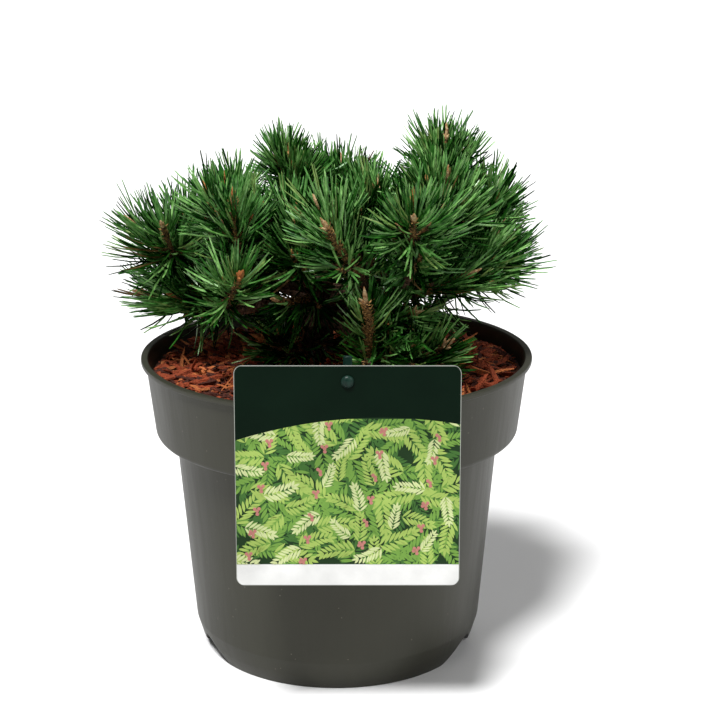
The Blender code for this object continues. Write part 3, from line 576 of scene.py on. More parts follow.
TRUNK_FOOT = Vector((-12, 14, 160.3)) * MM
TRUNK_TOP = Vector((-2, 8, 222)) * MM
TRUNK_BOW = Vector((-3, 3, 0)) * MM
TRUNK_RADII = ((0, 14.0), (0.07, 11.0), (0.18, 9.2), (0.45, 8.2), (0.75, 7.2), (1, 6.0))
TRUNK_FLARE_PART = 0.07
TRUNK_SIDES = 56
TRUNK_SCALES = (0.9 * MM, 4.2 * MM)
SKIN_STEP = 0.9 * MM
BARK_DARK = (0.040, 0.023, 0.015)
BARK_BROWN = (0.120, 0.062, 0.035)
BARK_FLAKE = (0.260, 0.160, 0.100)


def trunk_point(part):
    """The trunk's axis at a part of its height: upright through the flare, then leaning and bowed."""
    height = TRUNK_FOOT.z + (TRUNK_TOP.z - TRUNK_FOOT.z) * part
    share = max(0, (part - TRUNK_FLARE_PART) / (1 - TRUNK_FLARE_PART))
    point = TRUNK_FOOT.lerp(TRUNK_TOP, share) + TRUNK_BOW * math.sin(math.pi * share)
    point.z = height
    return point


def even_steps(path, radii, step):
    """The path at even steps, and the radii there when they change evenly over its length."""
    spots = np.array([tuple(point) for point in path])
    runs = np.linalg.norm(np.diff(spots, axis=0), axis=1)
    reach = np.concatenate([[0], np.cumsum(runs)])
    at = np.linspace(0, reach[-1], max(int(reach[-1] / step), 2) + 1)
    even = np.stack([np.interp(at, reach, spots[:, i]) for i in range(3)], axis=1)
    parts, thick = zip(*radii)
    return even, np.interp(at / reach[-1], parts, thick)


def limb_frames(spots):
    """The two directions square to a path at each of its points, without twist."""
    ahead = np.gradient(spots, axis=0)
    ahead /= np.linalg.norm(ahead, axis=1)[:, None]
    side = np.cross(ahead[0], (0.3, -0.2, 1.0) if abs(ahead[0][2]) < 0.9 else (0.2, -1.0, 0.1))
    sides = []
    for direction in ahead:
        side = side - direction * side.dot(direction)
        side = side / np.linalg.norm(side)
        sides.append(side)
    return np.array(sides), np.cross(ahead, sides)


def limb_skin(spots, radii, sides, relief):
    """Points and triangles of a limb's skin, whose radius a relief changes, closed at both ends."""
    right, over = limb_frames(spots)
    points = []
    for i in range(len(spots)):
        for k in range(sides):
            turn = math.tau * k / sides
            out = right[i] * math.cos(turn) + over[i] * math.sin(turn)
            points.append(spots[i] + out * (radii[i] + relief(i, turn, spots[i] + out * radii[i])))
    triangles = tube_faces(len(spots), sides)
    foot = len(points)
    top = foot - sides
    for k in range(sides):
        after = (k + 1) % sides
        triangles += [(foot, after, k), (foot + 1, top + k, top + after)]
    return np.array([*points, spots[0], spots[-1]]), np.array(triangles)


def scaly(depth, size):
    """A relief of small scales and scars: ridged noise of a size, up to a depth."""
    def relief(i, turn, spot):
        spot = Vector(spot) / size
        scales = abs(noise.noise(Vector((spot.x, spot.y, spot.z * 0.55))))
        fine = noise.noise(spot * 3.1)
        return depth * (0.55 - 2.2 * scales + 0.35 * fine)
    return relief


def bark_finish():
    """Scaly bark: brown plates between dark cracks, with paler flaking edges."""
    finish = Finish("scaly pine bark", BARK_BROWN, roughness=0.88, specular=0.25)
    cracks = finish.effect(CLOUDS, Grain=2.6, Stretch=2.2, Contrast=6.0)
    flakes = finish.effect(CLOUDS, Grain=1.1, Stretch=1.5, Contrast=7.0)
    finish.tint(cracks, BARK_DARK, 0.9).tint(flakes, BARK_FLAKE, 0.35)
    return finish.relief(cracks, 0.5 * MM).relief(flakes, 0.3 * MM).material


BARK = bark_finish()
trunk_path = [trunk_point(part) for part, _ in TRUNK_RADII]
trunk_thickness = [radius * MM for _, radius in TRUNK_RADII]
spots, radii = even_steps(trunk_path, [(part, radius * MM) for part, radius in TRUNK_RADII], SKIN_STEP)
trunk_skin = limb_skin(spots, radii, TRUNK_SIDES, scaly(*TRUNK_SCALES))
place_piece("trunk_bark", mesh_from_arrays(*trunk_skin), BARK, ["trunk"])

# The boughs
# Limbs that leave the trunk or a bigger limb at a wide angle, bend upward and taper into the
# stem of a tuft of shoots. They are a few years old, and rough with the stubs of fallen leaves.

UP = Vector((0, 0, 1))
GAP = 0.3 * MM
MAIN_BOUGH_RADIUS = 3.6 * MM
SIDE_BOUGH_RADIUS = 2.8 * MM
BOUGH_TIP_RADIUS = 2.4 * MM
BOUGH_SIDES = 18
BARK_PART = 0.94
BOUGH_SCALES = (0.55 * MM, 2.6 * MM)
BOUGH_BEND = (9 * MM, 4)
BOUGH_EVEN_PART = 0.15
FORK_ANGLE = math.radians(52)
BOUGH_STEPS = 3
BOUGH_STRAIGHT = 3 * MM
BOUGH_PULL = 0.38
SEAT_STEP = 0.1 * MM
SEAT_SAMPLES = 12
BUD_LENGTH = 10 * MM
TWIG_STEPS = 3
LEADER_LIFT = 0.3
SIDE_LIFT = 0.25
SIDE_FIRST_ROOT = 0.12
SIDE_ROOT_REACH = 0.32
SPREAD_AT_ROOT = 1.3
SPREAD_AT_TIP = 0.6
SIDE_SHOOT_LENGTHS = (0.62, 0.80)

# Each mass of foliage: the tip of its leading bud (degrees round the pot, reach and height in mm),
# the leader's lean (degrees round, degrees above level), its length in mm, the clock angles at which
# side shoots leave it, how far they spread in degrees, the limb that carries its bough, and the part
# of the way along that limb.
MASSES = {
    "far_left": ((185, 118, 260), (200, 34), 48, (10, 285), 58, "trunk", 0.64),
    "low_left": ((178, 112, 214), (184, -4), 42, (285, 80), 46, "trunk", 0.44),
    "back_left": ((150, 100, 252), (150, 34), 44, (320, 80, 190), 46, "trunk", 0.80),
    "left_front": ((-134, 80, 288), (-96, 72), 46, (320, 60), 46, "trunk", 0.78),
    "left_star": ((-122, 94, 247), (-66, 30), 38, (130,), 50, "left_front", 0.50),
    "top_left": ((180, 64, 285), (176, 80), 38, (300, 80), 46, "far_left", 0.30),
    "top_back_left": ((125, 49, 300), (110, 84), 40, (60, 240), 28, "trunk", 0.92),
    "top_back": ((88, 60, 285), (85, 74), 40, (40, 150, 270), 46, "back", 0.30),
    "centre": ((0, 24, 283), (-20, 84), 40, (70, 190, 310), 44, "trunk", 1),
    "centre_low": ((-112, 56, 277), (-100, 66), 42, (180, 40), 50, "trunk", 0.90),
    "front": ((-94, 92, 278), (-128, 38), 50, (200, 50), 42, "trunk", 0.71),
    "front_right": ((-62, 90, 290), (-90, 66), 46, (300, 180), 44, "trunk", 0.86),
    "upper_right": ((-26, 70, 294), (-30, 80), 42, (170, 60), 36, "top_right", 0.55),
    "mid_right": ((-30, 92, 240), (-26, 12), 44, (330, 110, 230), 44, "far_right", 0.40),
    "top_right": ((0, 63, 309), (0, 86), 46, (60, 190, 300), 30, "trunk", 0.87),
    "right": ((8, 88, 281), (5, 78), 42, (240, 110), 44, "far_right", 0.60),
    "far_right": ((-5, 96, 259), (0, 40), 44, (115, 180, 255), 44, "trunk", 0.68),
    "back_right": ((45, 98, 262), (45, 42), 44, (330, 80, 190), 46, "trunk", 0.60),
    "back": ((95, 102, 254), (95, 35), 44, (300, 60, 180), 46, "trunk", 0.66),
    "low_front": ((-79, 86, 236), (-101, 55), 50, (), 50, "trunk", 0.45),
    "low_right": ((-46, 93, 205), (-40, 21), 38, (70,), 44, "low_front", 0.30),
    "low_back": ((125, 92, 216), (125, 20), 42, (300,), 50, "trunk", 0.46),
    "centre_under": ((-122, 66, 226), (-125, -4), 36, (80, 290), 46, "trunk", 0.56),
    "right_inner": ((-54, 80, 221), (-52, 2), 34, (110, 270), 44, "far_right", 0.22),
    "right_under": ((2, 88, 210), (2, -4), 40, (280, 100), 44, "trunk", 0.50),
    "low_inner": ((213, 56, 198), (205, 12), 30, (), 50, "trunk", 0.34),
}


def aim(azimuth, elevation):
    """The direction at an angle round the pot and an angle above level, in degrees."""
    turn = math.radians(azimuth)
    rise = math.radians(elevation)
    flat = math.cos(rise)
    return Vector((flat * math.cos(turn), flat * math.sin(turn), math.sin(rise)))


def place(azimuth, reach, height):
    """The point at an angle round the pot, a reach from its axis and a height, in mm."""
    turn = math.radians(azimuth)
    return Vector((reach * math.cos(turn), reach * math.sin(turn), height)) * MM


def bent_path(start, first, last, length, steps):
    """Points along a twig that turns evenly from its first direction to its last."""
    points = [start.copy()]
    for i in range(steps):
        part = (i + 0.5) / steps
        points.append(points[-1] + first.lerp(last, part).normalized() * (length / steps))
    return points


def around(axis, clock):
    """The direction square to axis at a clock angle: 0 is its upper side, a quarter its right."""
    side = axis.cross(UP)
    if side.length < 1e-3:
        side = Vector((0, -1, 0))
    side.normalize()
    over = side.cross(axis)
    return over * math.cos(clock) + side * math.sin(clock)


def along(path, part):
    """The point at a part of the way along a path, and the path's direction there."""
    where = part * (len(path) - 1)
    i = min(int(where), len(path) - 2)
    return path[i].lerp(path[i + 1], where - i), (path[i + 1] - path[i]).normalized()


def side_twig(root, axis, radial, leaving, ending, length):
    """A twig that turns up: how far along and aside its carrier it leaves, and how it ends."""
    first = axis * leaving[0] + radial * leaving[1]
    last = (axis * ending[0] + radial * ending[1]).lerp(UP, SIDE_LIFT).normalized()
    return bent_path(root, first, last, length, TWIG_STEPS)


def shoots_of(name):
    """The paths of a mass's shoots, each from its root to the foot of its bud: leader first."""
    tip, lean, length, clocks, spread = MASSES[name][:5]
    chance = random.Random(name)
    length = length * MM - BUD_LENGTH
    lead = aim(*lean)
    lift = lead.lerp(UP, LEADER_LIFT).normalized()
    leader = bent_path(Vector(), lead, lift, length, TWIG_STEPS)
    top, end = along(leader, 1)
    shift = place(*tip) - top - end * BUD_LENGTH
    shoots = [[point + shift for point in leader]]
    wide = math.radians(spread * SPREAD_AT_ROOT)
    narrow = math.radians(spread * SPREAD_AT_TIP)
    leaving = (math.cos(wide), math.sin(wide))
    ending = (math.cos(narrow), math.sin(narrow))
    for i, clock in enumerate(clocks):
        root, axis = along(shoots[0], SIDE_FIRST_ROOT + SIDE_ROOT_REACH * i / max(len(clocks) - 1, 1))
        radial = around(axis, math.radians(clock))
        reach = length * chance.uniform(*SIDE_SHOOT_LENGTHS)
        shoots.append(side_twig(root, axis, radial, leaving, ending, reach))
    return shoots


def on_trunk(part):
    """The trunk's axis point and its direction at a part of its height."""
    for (before, _), (after, _) in zip(TRUNK_RADII, TRUNK_RADII[1:]):
        if before <= part <= after:
            low = trunk_point(before)
            high = trunk_point(after)
            return low.lerp(high, (part - before) / (after - before)), (high - low).normalized()


def clearance(point, carrier_points, carrier_radii):
    """How far a point is from a limb, taken as a row of cones with flat ends."""
    nearest = math.inf
    for i in range(len(carrier_points) - 1):
        run = carrier_points[i + 1] - carrier_points[i]
        offset = point - carrier_points[i]
        share = offset.dot(run) / run.length_squared
        inside = min(max(share, 0), 1)
        radius = carrier_radii[i] + (carrier_radii[i + 1] - carrier_radii[i]) * inside
        beside = (offset - run * share).length - radius
        beyond = abs(share - inside) * run.length
        nearest = min(nearest, math.hypot(max(beside, 0), beyond) if beyond else beside)
    return nearest


def seat(origin, out, radius, carrier_points, carrier_radii):
    """Where a bough comes clear of its carrier, whose bark closes round it."""
    side = around(out, 0)
    over = out.cross(side)
    turns = [math.tau * i / SEAT_SAMPLES for i in range(SEAT_SAMPLES)]
    rim = [(side * math.cos(turn) + over * math.sin(turn)) * radius for turn in turns]
    spots = rim + [spot / 2 for spot in rim]
    centre = origin
    while min(clearance(centre + spot, carrier_points, carrier_radii) for spot in spots) < GAP:
        centre = centre + out * SEAT_STEP
    return centre


def limbs():
    """Each bough as (root inside its carrier, points, radii), in one bend to its mass's stem."""
    found = {}
    for name in sorted(MASSES, key=lambda key: MASSES[key][5] != "trunk"):
        carrier, part = MASSES[name][5:]
        leader = shoots_of(name)[0]
        lead = (leader[1] - leader[0]).normalized()
        heart = leader[0] - lead * GAP
        if carrier == "trunk":
            carrier_points, carrier_radii = trunk_path, trunk_thickness
            origin, axis = on_trunk(part)
            radius = MAIN_BOUGH_RADIUS
        else:
            carrier_points, carrier_radii = found[carrier][1:]
            origin, axis = along(carrier_points, part)
            radius = SIDE_BOUGH_RADIUS
        if part == 1:
            out = axis
            start = origin + axis * GAP
        else:
            toward = (heart - origin).normalized()
            sideways = (toward - axis * toward.dot(axis)).normalized()
            out = axis * math.cos(FORK_ANGLE) + sideways * math.sin(FORK_ANGLE)
            start = seat(origin, out, radius, carrier_points, carrier_radii)
        near = start + out * BOUGH_STRAIGHT
        far = heart - lead * BOUGH_STRAIGHT
        pull = (far - near).length * BOUGH_PULL
        handles = (near, near + out * pull, far - lead * pull, far)
        points = [start]
        for i in range(BOUGH_STEPS + 1):
            t = i / BOUGH_STEPS
            weights = ((1 - t) ** 3, 3 * t * (1 - t) ** 2, 3 * t * t * (1 - t), t**3)
            points.append(sum((h * w for h, w in zip(handles, weights)), Vector()))
        points.append(heart)
        last = len(points) - 1
        radii = [radius + (BOUGH_TIP_RADIUS - radius) * i / last for i in range(last + 1)]
        found[name] = (origin, points, radii)
    return found


def join(skins):
    """Several pairs of points and triangles, as one pair."""
    count = 0
    triangles = []
    for points, faces in skins:
        triangles.append(faces + count)
        count += len(points)
    return np.concatenate([points for points, _ in skins]), np.concatenate(triangles)


BOUGHS = limbs()
skins = []
for origin, points, radii in BOUGHS.values():
    path = soften([origin] + points + [points[-1] + (points[-1] - points[-2])], *BOUGH_BEND)
    taper = [(0, radii[0]), (BOUGH_EVEN_PART, radii[0]), (1, radii[-1])]
    spots, radii = even_steps(path, taper, SKIN_STEP)
    skins.append(limb_skin(spots, radii * BARK_PART, BOUGH_SIDES, scaly(*BOUGH_SCALES)))
nodes = ["bough_" + name for name in MASSES]
place_piece("bough_bark", mesh_from_arrays(*join(skins)), BARK, nodes)

# The shoots
# This year's and last year's twigs, which carry the needles. They are tan to orange brown, and
# closely set with the pointed papery scales that each pair of needles grew from.

VIEWPOINT = Vector((13.8, -1026.78, 469.04)) * MM
VIEW_TILT = math.radians(15.998)
FOCAL_PIXELS = 1796.06
IMAGE_PIXELS = 720
TWIG_RADIUS = 2.0 * MM
TWIG_TIP_RADIUS = 1.5 * MM
TWIG_SIDES = 8
TWIG_SCALES = (0.3 * MM, 1.6 * MM)
TWIG_BEND = (6 * MM, 3)
TWIG_STEP = 1.5 * MM
GOLDEN_ANGLE = math.radians(137.5)
OUTER_PARTS = (0.6, 0.8, 1.0)
WEAK_SHOOTS = 2
WEAK_SHOOTS_ON_BOUGH = 5
WEAK_ROOTS_ON_LEADER = (0.02, 0.30)
WEAK_ROOTS_ON_BOUGH = (0.45, 0.95)
WEAK_LEAVING = (0.45, 0.89)
WEAK_ENDING = (0.8, 0.6)
WEAK_SHOOT_LENGTH = (13 * MM, 19 * MM)
FINE_SHOOTS = 2
FINE_SHOOT_PARTS = (0.30, 0.62)
FINE_LEAVING = (0.62, 0.78)
FINE_ENDING = (0.85, 0.53)
FINE_SHOOT_LENGTH = (11 * MM, 16 * MM)
STRAIGHT_AT_VIEW = 0.5
SCALES_ON_SHOOT = 100
SCALES_ON_BOUGH = 90
BOUGH_SCALE_ZONE = (0.35, 1)
SCALE_LENGTH = 2.5 * MM
SCALE_WIDTH = 1.1 * MM
SCALE_FACES = ((0, 2, 1), (0, 3, 2), (2, 3, 1), (0, 1, 4), (0, 4, 3), (1, 3, 4))
# The young bark's own brown, kept very dark as painted shade between the scales and inside the crown.
TWIG_BROWN_AND_SHADE = (0.055, 0.028, 0.010)
SCALE_BROWN = (0.480, 0.270, 0.085)
SCALE_PALE = (0.36, 0.20, 0.09)

# Weak and fine twigs: their thickness beside a full one, their scales and the size of those.
WEAK_STEM = (0.62, 33, 0.7)

# Leaders on old wood, and how much thicker they are.
OLD_SHOOTS = {"low_front": 1.35, "front_right": 1.2, "front": 1.2, "left_front": 1.2, "centre_low": 1.2}

# Shoots that the plant doesn't have, and how far the others grow past the source's, in mm.
DEAD_SHOOTS = {("left_star", 1), ("front", 1), ("right_under", 0), ("right_inner", 2)}
CANDLE = 4
CANDLES = {
    "far_left": {0: 7, 2: 10},
    "low_left": {0: 12, 1: 7},
    "top_back": {1: 8},
    "top_right": {0: 8},
    "top_back_left": {0: 0.5, 1: 0.5, 2: 2},
}

# Where the photograph shows sky through the crown: middle and half sizes in its pixels.
SKY_GAPS = (
    (424, 299, 20, 6),
    (474, 305, 27, 14),
    (148, 335, 54, 18),
    (235, 305, 11, 8),
    (293, 291, 17, 8),
    (327, 290, 10, 9),
)


def seen_at(points):
    """Where points stand in the photograph, in its pixels."""
    offset = points - np.array(tuple(VIEWPOINT))
    depth = offset[:, 1] * math.cos(VIEW_TILT) - offset[:, 2] * math.sin(VIEW_TILT)
    rise = offset[:, 1] * math.sin(VIEW_TILT) + offset[:, 2] * math.cos(VIEW_TILT)
    middle = IMAGE_PIXELS / 2
    return middle + FOCAL_PIXELS * offset[:, 0] / depth, middle - FOCAL_PIXELS * rise / depth


def in_sky_gap(points):
    """True for each point that stands in one of the crown's gaps, as the photograph sees it."""
    across, down = seen_at(points)
    found = np.zeros(len(points), bool)
    for x, y, half_width, half_height in SKY_GAPS:
        found |= ((across - x) / half_width) ** 2 + ((down - y) / half_height) ** 2 < 1
    return found


def open_to_view(path):
    """True for a twig whose outer half stands clear of the crown's gaps."""
    outer = np.array([tuple(along(path, part)[0]) for part in OUTER_PARTS])
    return not in_sky_gap(outer).any()


def living_shoots_of(name):
    """A mass's shoots by number, each drawn out to its bud, without those that would fill a gap."""
    paths = shoots_of(name)
    for number, path in enumerate(paths):
        tip, axis = along(path, 1)
        path[-1] = tip + axis * (CANDLES.get(name, {}).get(number, CANDLE) * MM)
    return {
        number: path
        for number, path in enumerate(paths)
        if (name, number) not in DEAD_SHOOTS and (number == 0 or open_to_view(path))
    }


def weak_shoots_of(name):
    """Short inner twigs of a mass, which leave its leader's foot and its bough between the others."""
    chance = random.Random(name + " weak")
    found = []
    for i in range(WEAK_SHOOTS + WEAK_SHOOTS_ON_BOUGH):
        on_bough = i >= WEAK_SHOOTS
        where = chance.uniform(*(WEAK_ROOTS_ON_BOUGH if on_bough else WEAK_ROOTS_ON_LEADER))
        carrier = BOUGHS[name][1] if on_bough else SHOOTS[name].get(0, BOUGHS[name][1])
        root, axis = along(carrier, where)
        radial = around(axis, math.radians(chance.uniform(0, 360)))
        length = chance.uniform(*WEAK_SHOOT_LENGTH)
        found.append(side_twig(root, axis, radial, WEAK_LEAVING, WEAK_ENDING, length))
    return [path for path in found if open_to_view(path)]


def fine_shoots_of(name):
    """Short side twigs on a mass's shoots, set between the forks of the source's rule."""
    chance = random.Random(name + " fine")
    found = []
    for path in SHOOTS[name].values():
        start = chance.uniform(0, 360)
        for i in range(FINE_SHOOTS):
            root, axis = along(path, chance.uniform(*FINE_SHOOT_PARTS))
            radial = around(axis, math.radians(start + 180 * i + chance.uniform(-40, 40)))
            if radial.dot((VIEWPOINT - root).normalized()) > STRAIGHT_AT_VIEW:
                radial = -radial
            length = chance.uniform(*FINE_SHOOT_LENGTH)
            found.append(side_twig(root, axis, radial, FINE_LEAVING, FINE_ENDING, length))
    return [path for path in found if open_to_view(path)]


def twig_scales(path, count, first, last, size, chance):
    """Pointed scales that stand off a twig in a spiral: one small folded blade each."""
    points = []
    for i in range(count):
        root, axis = along(path, first + (last - first) * i / count)
        radial = around(axis, i * GOLDEN_ANGLE + chance.uniform(-0.2, 0.2))
        side = axis.cross(radial)
        stand = chance.uniform(0.4, 1.7)
        out = (axis + radial * stand).normalized()
        foot = root + radial * TWIG_TIP_RADIUS * 0.9 * size
        long = SCALE_LENGTH * size * chance.uniform(0.7, 1.2)
        wide = SCALE_WIDTH * size * chance.uniform(0.8, 1.1)
        tip = foot + out * long
        back = foot + out * long * 0.4 + radial * wide * 0.35
        points += [foot - side * wide / 2, foot + side * wide / 2, back, tip, foot - radial * wide * 0.5]
    return np.array([tuple(point) for point in points]), copies(SCALE_FACES, count, 5)


def twig_finish(name, colour, pale):
    """Young bark or papery scale: warm brown, mottled, a little paler on its raised parts."""
    finish = Finish(name, colour, roughness=0.75, specular=0.3)
    mottle = finish.effect(CLOUDS, Grain=2.2, Contrast=4.5)
    dark = finish.effect(CLOUDS, Grain=6.0, Contrast=3.0)
    finish.tint(mottle, pale, 0.6).tint(dark, dimmed(colour, 0.35), 0.6)
    return finish.relief(mottle, 0.3 * MM).material


SHOOTS = {name: living_shoots_of(name) for name in MASSES}
WEAK = {name: weak_shoots_of(name) for name in MASSES}
FINE = {name: fine_shoots_of(name) for name in MASSES}
skins = []
scales = []
for name in MASSES:
    chance = random.Random(name + " scales")
    stems = []
    for number, path in SHOOTS[name].items():
        old = OLD_SHOOTS.get(name, 1) if number == 0 else 1
        stems.append((path, old, round(SCALES_ON_SHOOT * old**3), old))
    stems += [(path, *WEAK_STEM) for path in WEAK[name] + FINE[name]]
    for path, thick, count, size in stems:
        taper = [(0, TWIG_RADIUS * thick), (1, TWIG_TIP_RADIUS * thick)]
        spots, radii = even_steps(soften(path, *TWIG_BEND), taper, TWIG_STEP)
        skins.append(limb_skin(spots, radii, TWIG_SIDES, scaly(*TWIG_SCALES)))
        scales.append(twig_scales(path, count, 0, 1, size, chance))
    scales.append(twig_scales(BOUGHS[name][1], SCALES_ON_BOUGH, *BOUGH_SCALE_ZONE, 1.0, chance))
# The shoot bark's near-black brown is partly the bark's own colour and partly painted shade.
young_bark = twig_finish("young bark", TWIG_BROWN_AND_SHADE, SCALE_BROWN)
place_piece("shoot_bark", mesh_from_arrays(*join(skins)), young_bark)
scale_mesh = mesh_from_arrays(*join(scales), smooth=False)
place_piece("shoot_scales", scale_mesh, twig_finish("papery scales", SCALE_BROWN, SCALE_PALE))

# The needles
# Stiff dark green needles, two from each scale: flat inside, rounded outside, a millimetre wide
# and a little twisted. They stand out wide low on a shoot and close up round its bud.

NEEDLE_LENGTH = 31.0 * MM
NEEDLE_LENGTH_PLAY = (-5 * MM, 2.5 * MM)
TOP_NEEDLE_PART = 0.88
NEEDLE_RISE = 0.16
NEEDLE_WIDTH = 1.12 * MM
NEEDLE_THICKNESS = 0.68 * MM
NEEDLE_STATIONS = (0.0, 0.12, 0.38, 0.68, 0.95)
NEEDLE_BODY = (0.65, 0.95, 1.0, 0.96, 0.62)
NEEDLE_ZONE = (0.02, 0.93)
NEEDLE_ANGLES = (76, 30)
NEEDLE_BEND = 0.36
NEEDLE_TWIST = 1.1
PAIR_TURN_PLAY = 0.25
PAIR_ANGLE_PLAY = 12
TWIN_LEAN = (1, 6)
TWIN_TURN = (0.03, 0.12)
BEND_PLAY = 0.14
TIP_PLAY = 0.07
PAIRS_ON_SHOOT = 48
PAIRS_ON_FINE_SHOOT = 18
PAIRS_ON_WEAK_SHOOT = 14
PAIRS_ON_BOUGH = 20
FINE_NEEDLE_PART = 0.9
WEAK_NEEDLE_PART = 0.76
BOUGH_NEEDLE_ZONE = (0.62, 0.98)
BOUGH_NEEDLE_ANGLES = (72, 60)
NEEDLES_IN_PIECE = 6000
SHEATH_LENGTH = 3.6 * MM
SHEATH_RADIUS = 0.85 * MM
SHEATH_RINGS = ((0.25, 1.0), (0.8, 0.95), (1.0, 0.6))
SHEATH_BROWN = (0.060, 0.036, 0.020)
SHEATH_PALE = (0.130, 0.085, 0.050)
MULCH_MARGIN = 3.0 * MM
RIM_MARGIN = 9.0 * MM
LABEL_MARGIN = 2.0 * MM
LIMB_MARGIN = 0.5 * MM
TESTED_PARTS = (0.35, 0.6, 0.8, 1.0)
TESTED_AT_ONCE = 2000
LABEL_LOW, LABEL_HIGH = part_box("label_card")
STAKE_LOW, STAKE_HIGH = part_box("label_stake")

# Needles that point this nearly at the viewpoint would hide their stem, so few of them grow.
STEM_WINDOW = math.cos(math.radians(30))
NARROW_STEM_WINDOW = math.cos(math.radians(13))
BARE_STEMS = ("low_front", "front_right", "front", "low_right")
STRAY_NEEDLES = 0.15

# Needles near the crown's heart, low down and at a shoot's foot grow in the shade, and are mostly dealt the
# darker tints as painted shade.
CROWN_HEART = Vector((-12, 0, 216)) * MM
SHADED_REACH = 68 * MM
SHADE_HEIGHT = 168 * MM
SHADE_DEPTH = 42 * MM
LOWEST_LIGHT = 0.25
LIGHT_AT_FOOT = 0.55
LIGHT_TO_TIP = 0.45

# How long each mass's needles are beside the rule, and how thickly some shoots are set with them.
NEEDLE_VIGOUR = {
    "far_left": 1.2,
    "low_left": 1.2,
    "low_inner": 0.8,
    "left_front": 0.93,
    "top_left": 0.92,
    "top_back_left": 0.84,
    "right": 1.08,
    "far_right": 1.12,
}
THIN_SHOOTS = {
    ("low_front", 0): 0.6,
    ("low_inner", 0): 0.4,
    ("low_right", 1): 0.5,
    ("centre_under", 0): 0.5,
    ("right_inner", 0): 0.8,
    ("right_inner", 1): 0.6,
    ("low_left", 0): 0.8,
}

# Each kind of needle: its colour, its paler parts painted as glints, its sheen, and its shares in light and
# in shade.
# All tints but olive and old are lit to shaded copies of one green, as painted light and shade; olive and old
# are the needles' own tones.
NEEDLE_TINTS = {
    "fresh": ((0.072, 0.235, 0.032), (0.275, 0.530, 0.165), 0.70, 0.33, 0.01),
    "green": ((0.016, 0.102, 0.008), (0.135, 0.345, 0.085), 0.50, 0.36, 0.06),
    "deep": ((0.002, 0.034, 0.001), (0.030, 0.136, 0.016), 0.14, 0.21, 0.22),
    "olive": ((0.085, 0.175, 0.028), (0.250, 0.370, 0.110), 0.45, 0.05, 0.01),
    "shade": ((0.000, 0.007, 0.000), (0.004, 0.028, 0.002), 0.03, 0.07, 0.69),
    "old": ((0.090, 0.050, 0.018), (0.180, 0.110, 0.040), 0.25, 0.003, 0.01),
}


def grow_pairs(path, pairs, zone, angles, length, chance, owner):
    """A row for each needle of the pairs up a shoot, each pair a golden angle round from the last."""
    rows = []
    for i in range(pairs):
        share = i / pairs
        root, axis = along(path, zone[0] + (zone[1] - zone[0]) * share)
        # Painted shade: a pair gets darker tints the nearer its root is to the crown's heart, the lower it
        # stands and the nearer it is to its shoot's foot.
        light = min((root - CROWN_HEART).length / SHADED_REACH, 1) ** 2
        light *= LIGHT_AT_FOOT + LIGHT_TO_TIP * share
        light *= min(max((root.z - SHADE_HEIGHT) / SHADE_DEPTH, LOWEST_LIGHT), 1)
        weights = [lit * light + shaded * (1 - light) for _, _, _, lit, shaded in NEEDLE_TINTS.values()]
        turn = i * GOLDEN_ANGLE + chance.uniform(-PAIR_TURN_PLAY, PAIR_TURN_PLAY)
        play = chance.uniform(-PAIR_ANGLE_PLAY, PAIR_ANGLE_PLAY)
        angle = angles[0] + (angles[1] - angles[0]) * share + play
        tint = chance.choices(list(NEEDLE_TINTS), weights)[0]
        long = length * (1 + (TOP_NEEDLE_PART - 1) * share**2) + chance.uniform(*NEEDLE_LENGTH_PLAY)
        for hand in (-1, 1):
            lean = math.radians(angle + hand * chance.uniform(*TWIN_LEAN))
            radial = around(axis, turn + hand * chance.uniform(*TWIN_TURN))
            start = axis * math.cos(lean) + radial * math.sin(lean)
            bend = NEEDLE_BEND + chance.uniform(-BEND_PLAY, BEND_PLAY)
            end = start.lerp(axis, bend) + UP * NEEDLE_RISE
            end = (end + Vector([chance.gauss(0, TIP_PLAY) for _ in range(3)])).normalized()
            lines = [tuple(vector) for vector in (root, start, end, radial)]
            rows.append((*lines, long * chance.uniform(0.96, 1.02), tint, owner))
    return rows


def needle_points(roots, starts, ends, lengths, share):
    """Where the needles are at a share of their length: each bends evenly from start to end."""
    return roots + lengths[:, None] * (starts * share + (ends - starts) * (share**2 / 2))


def distances(points, low, high):
    """How far each point is from each straight run."""
    runs = high - low
    offset = points[:, None, :] - low[None]
    share = np.clip(np.einsum("pri,ri->pr", offset, runs) / np.einsum("ri,ri->r", runs, runs), 0, 1)
    return np.linalg.norm(offset - runs[None] * share[..., None], axis=2)


def unit(vectors):
    """The vectors, each made one long."""
    return vectors / np.linalg.norm(vectors, axis=1)[:, None]


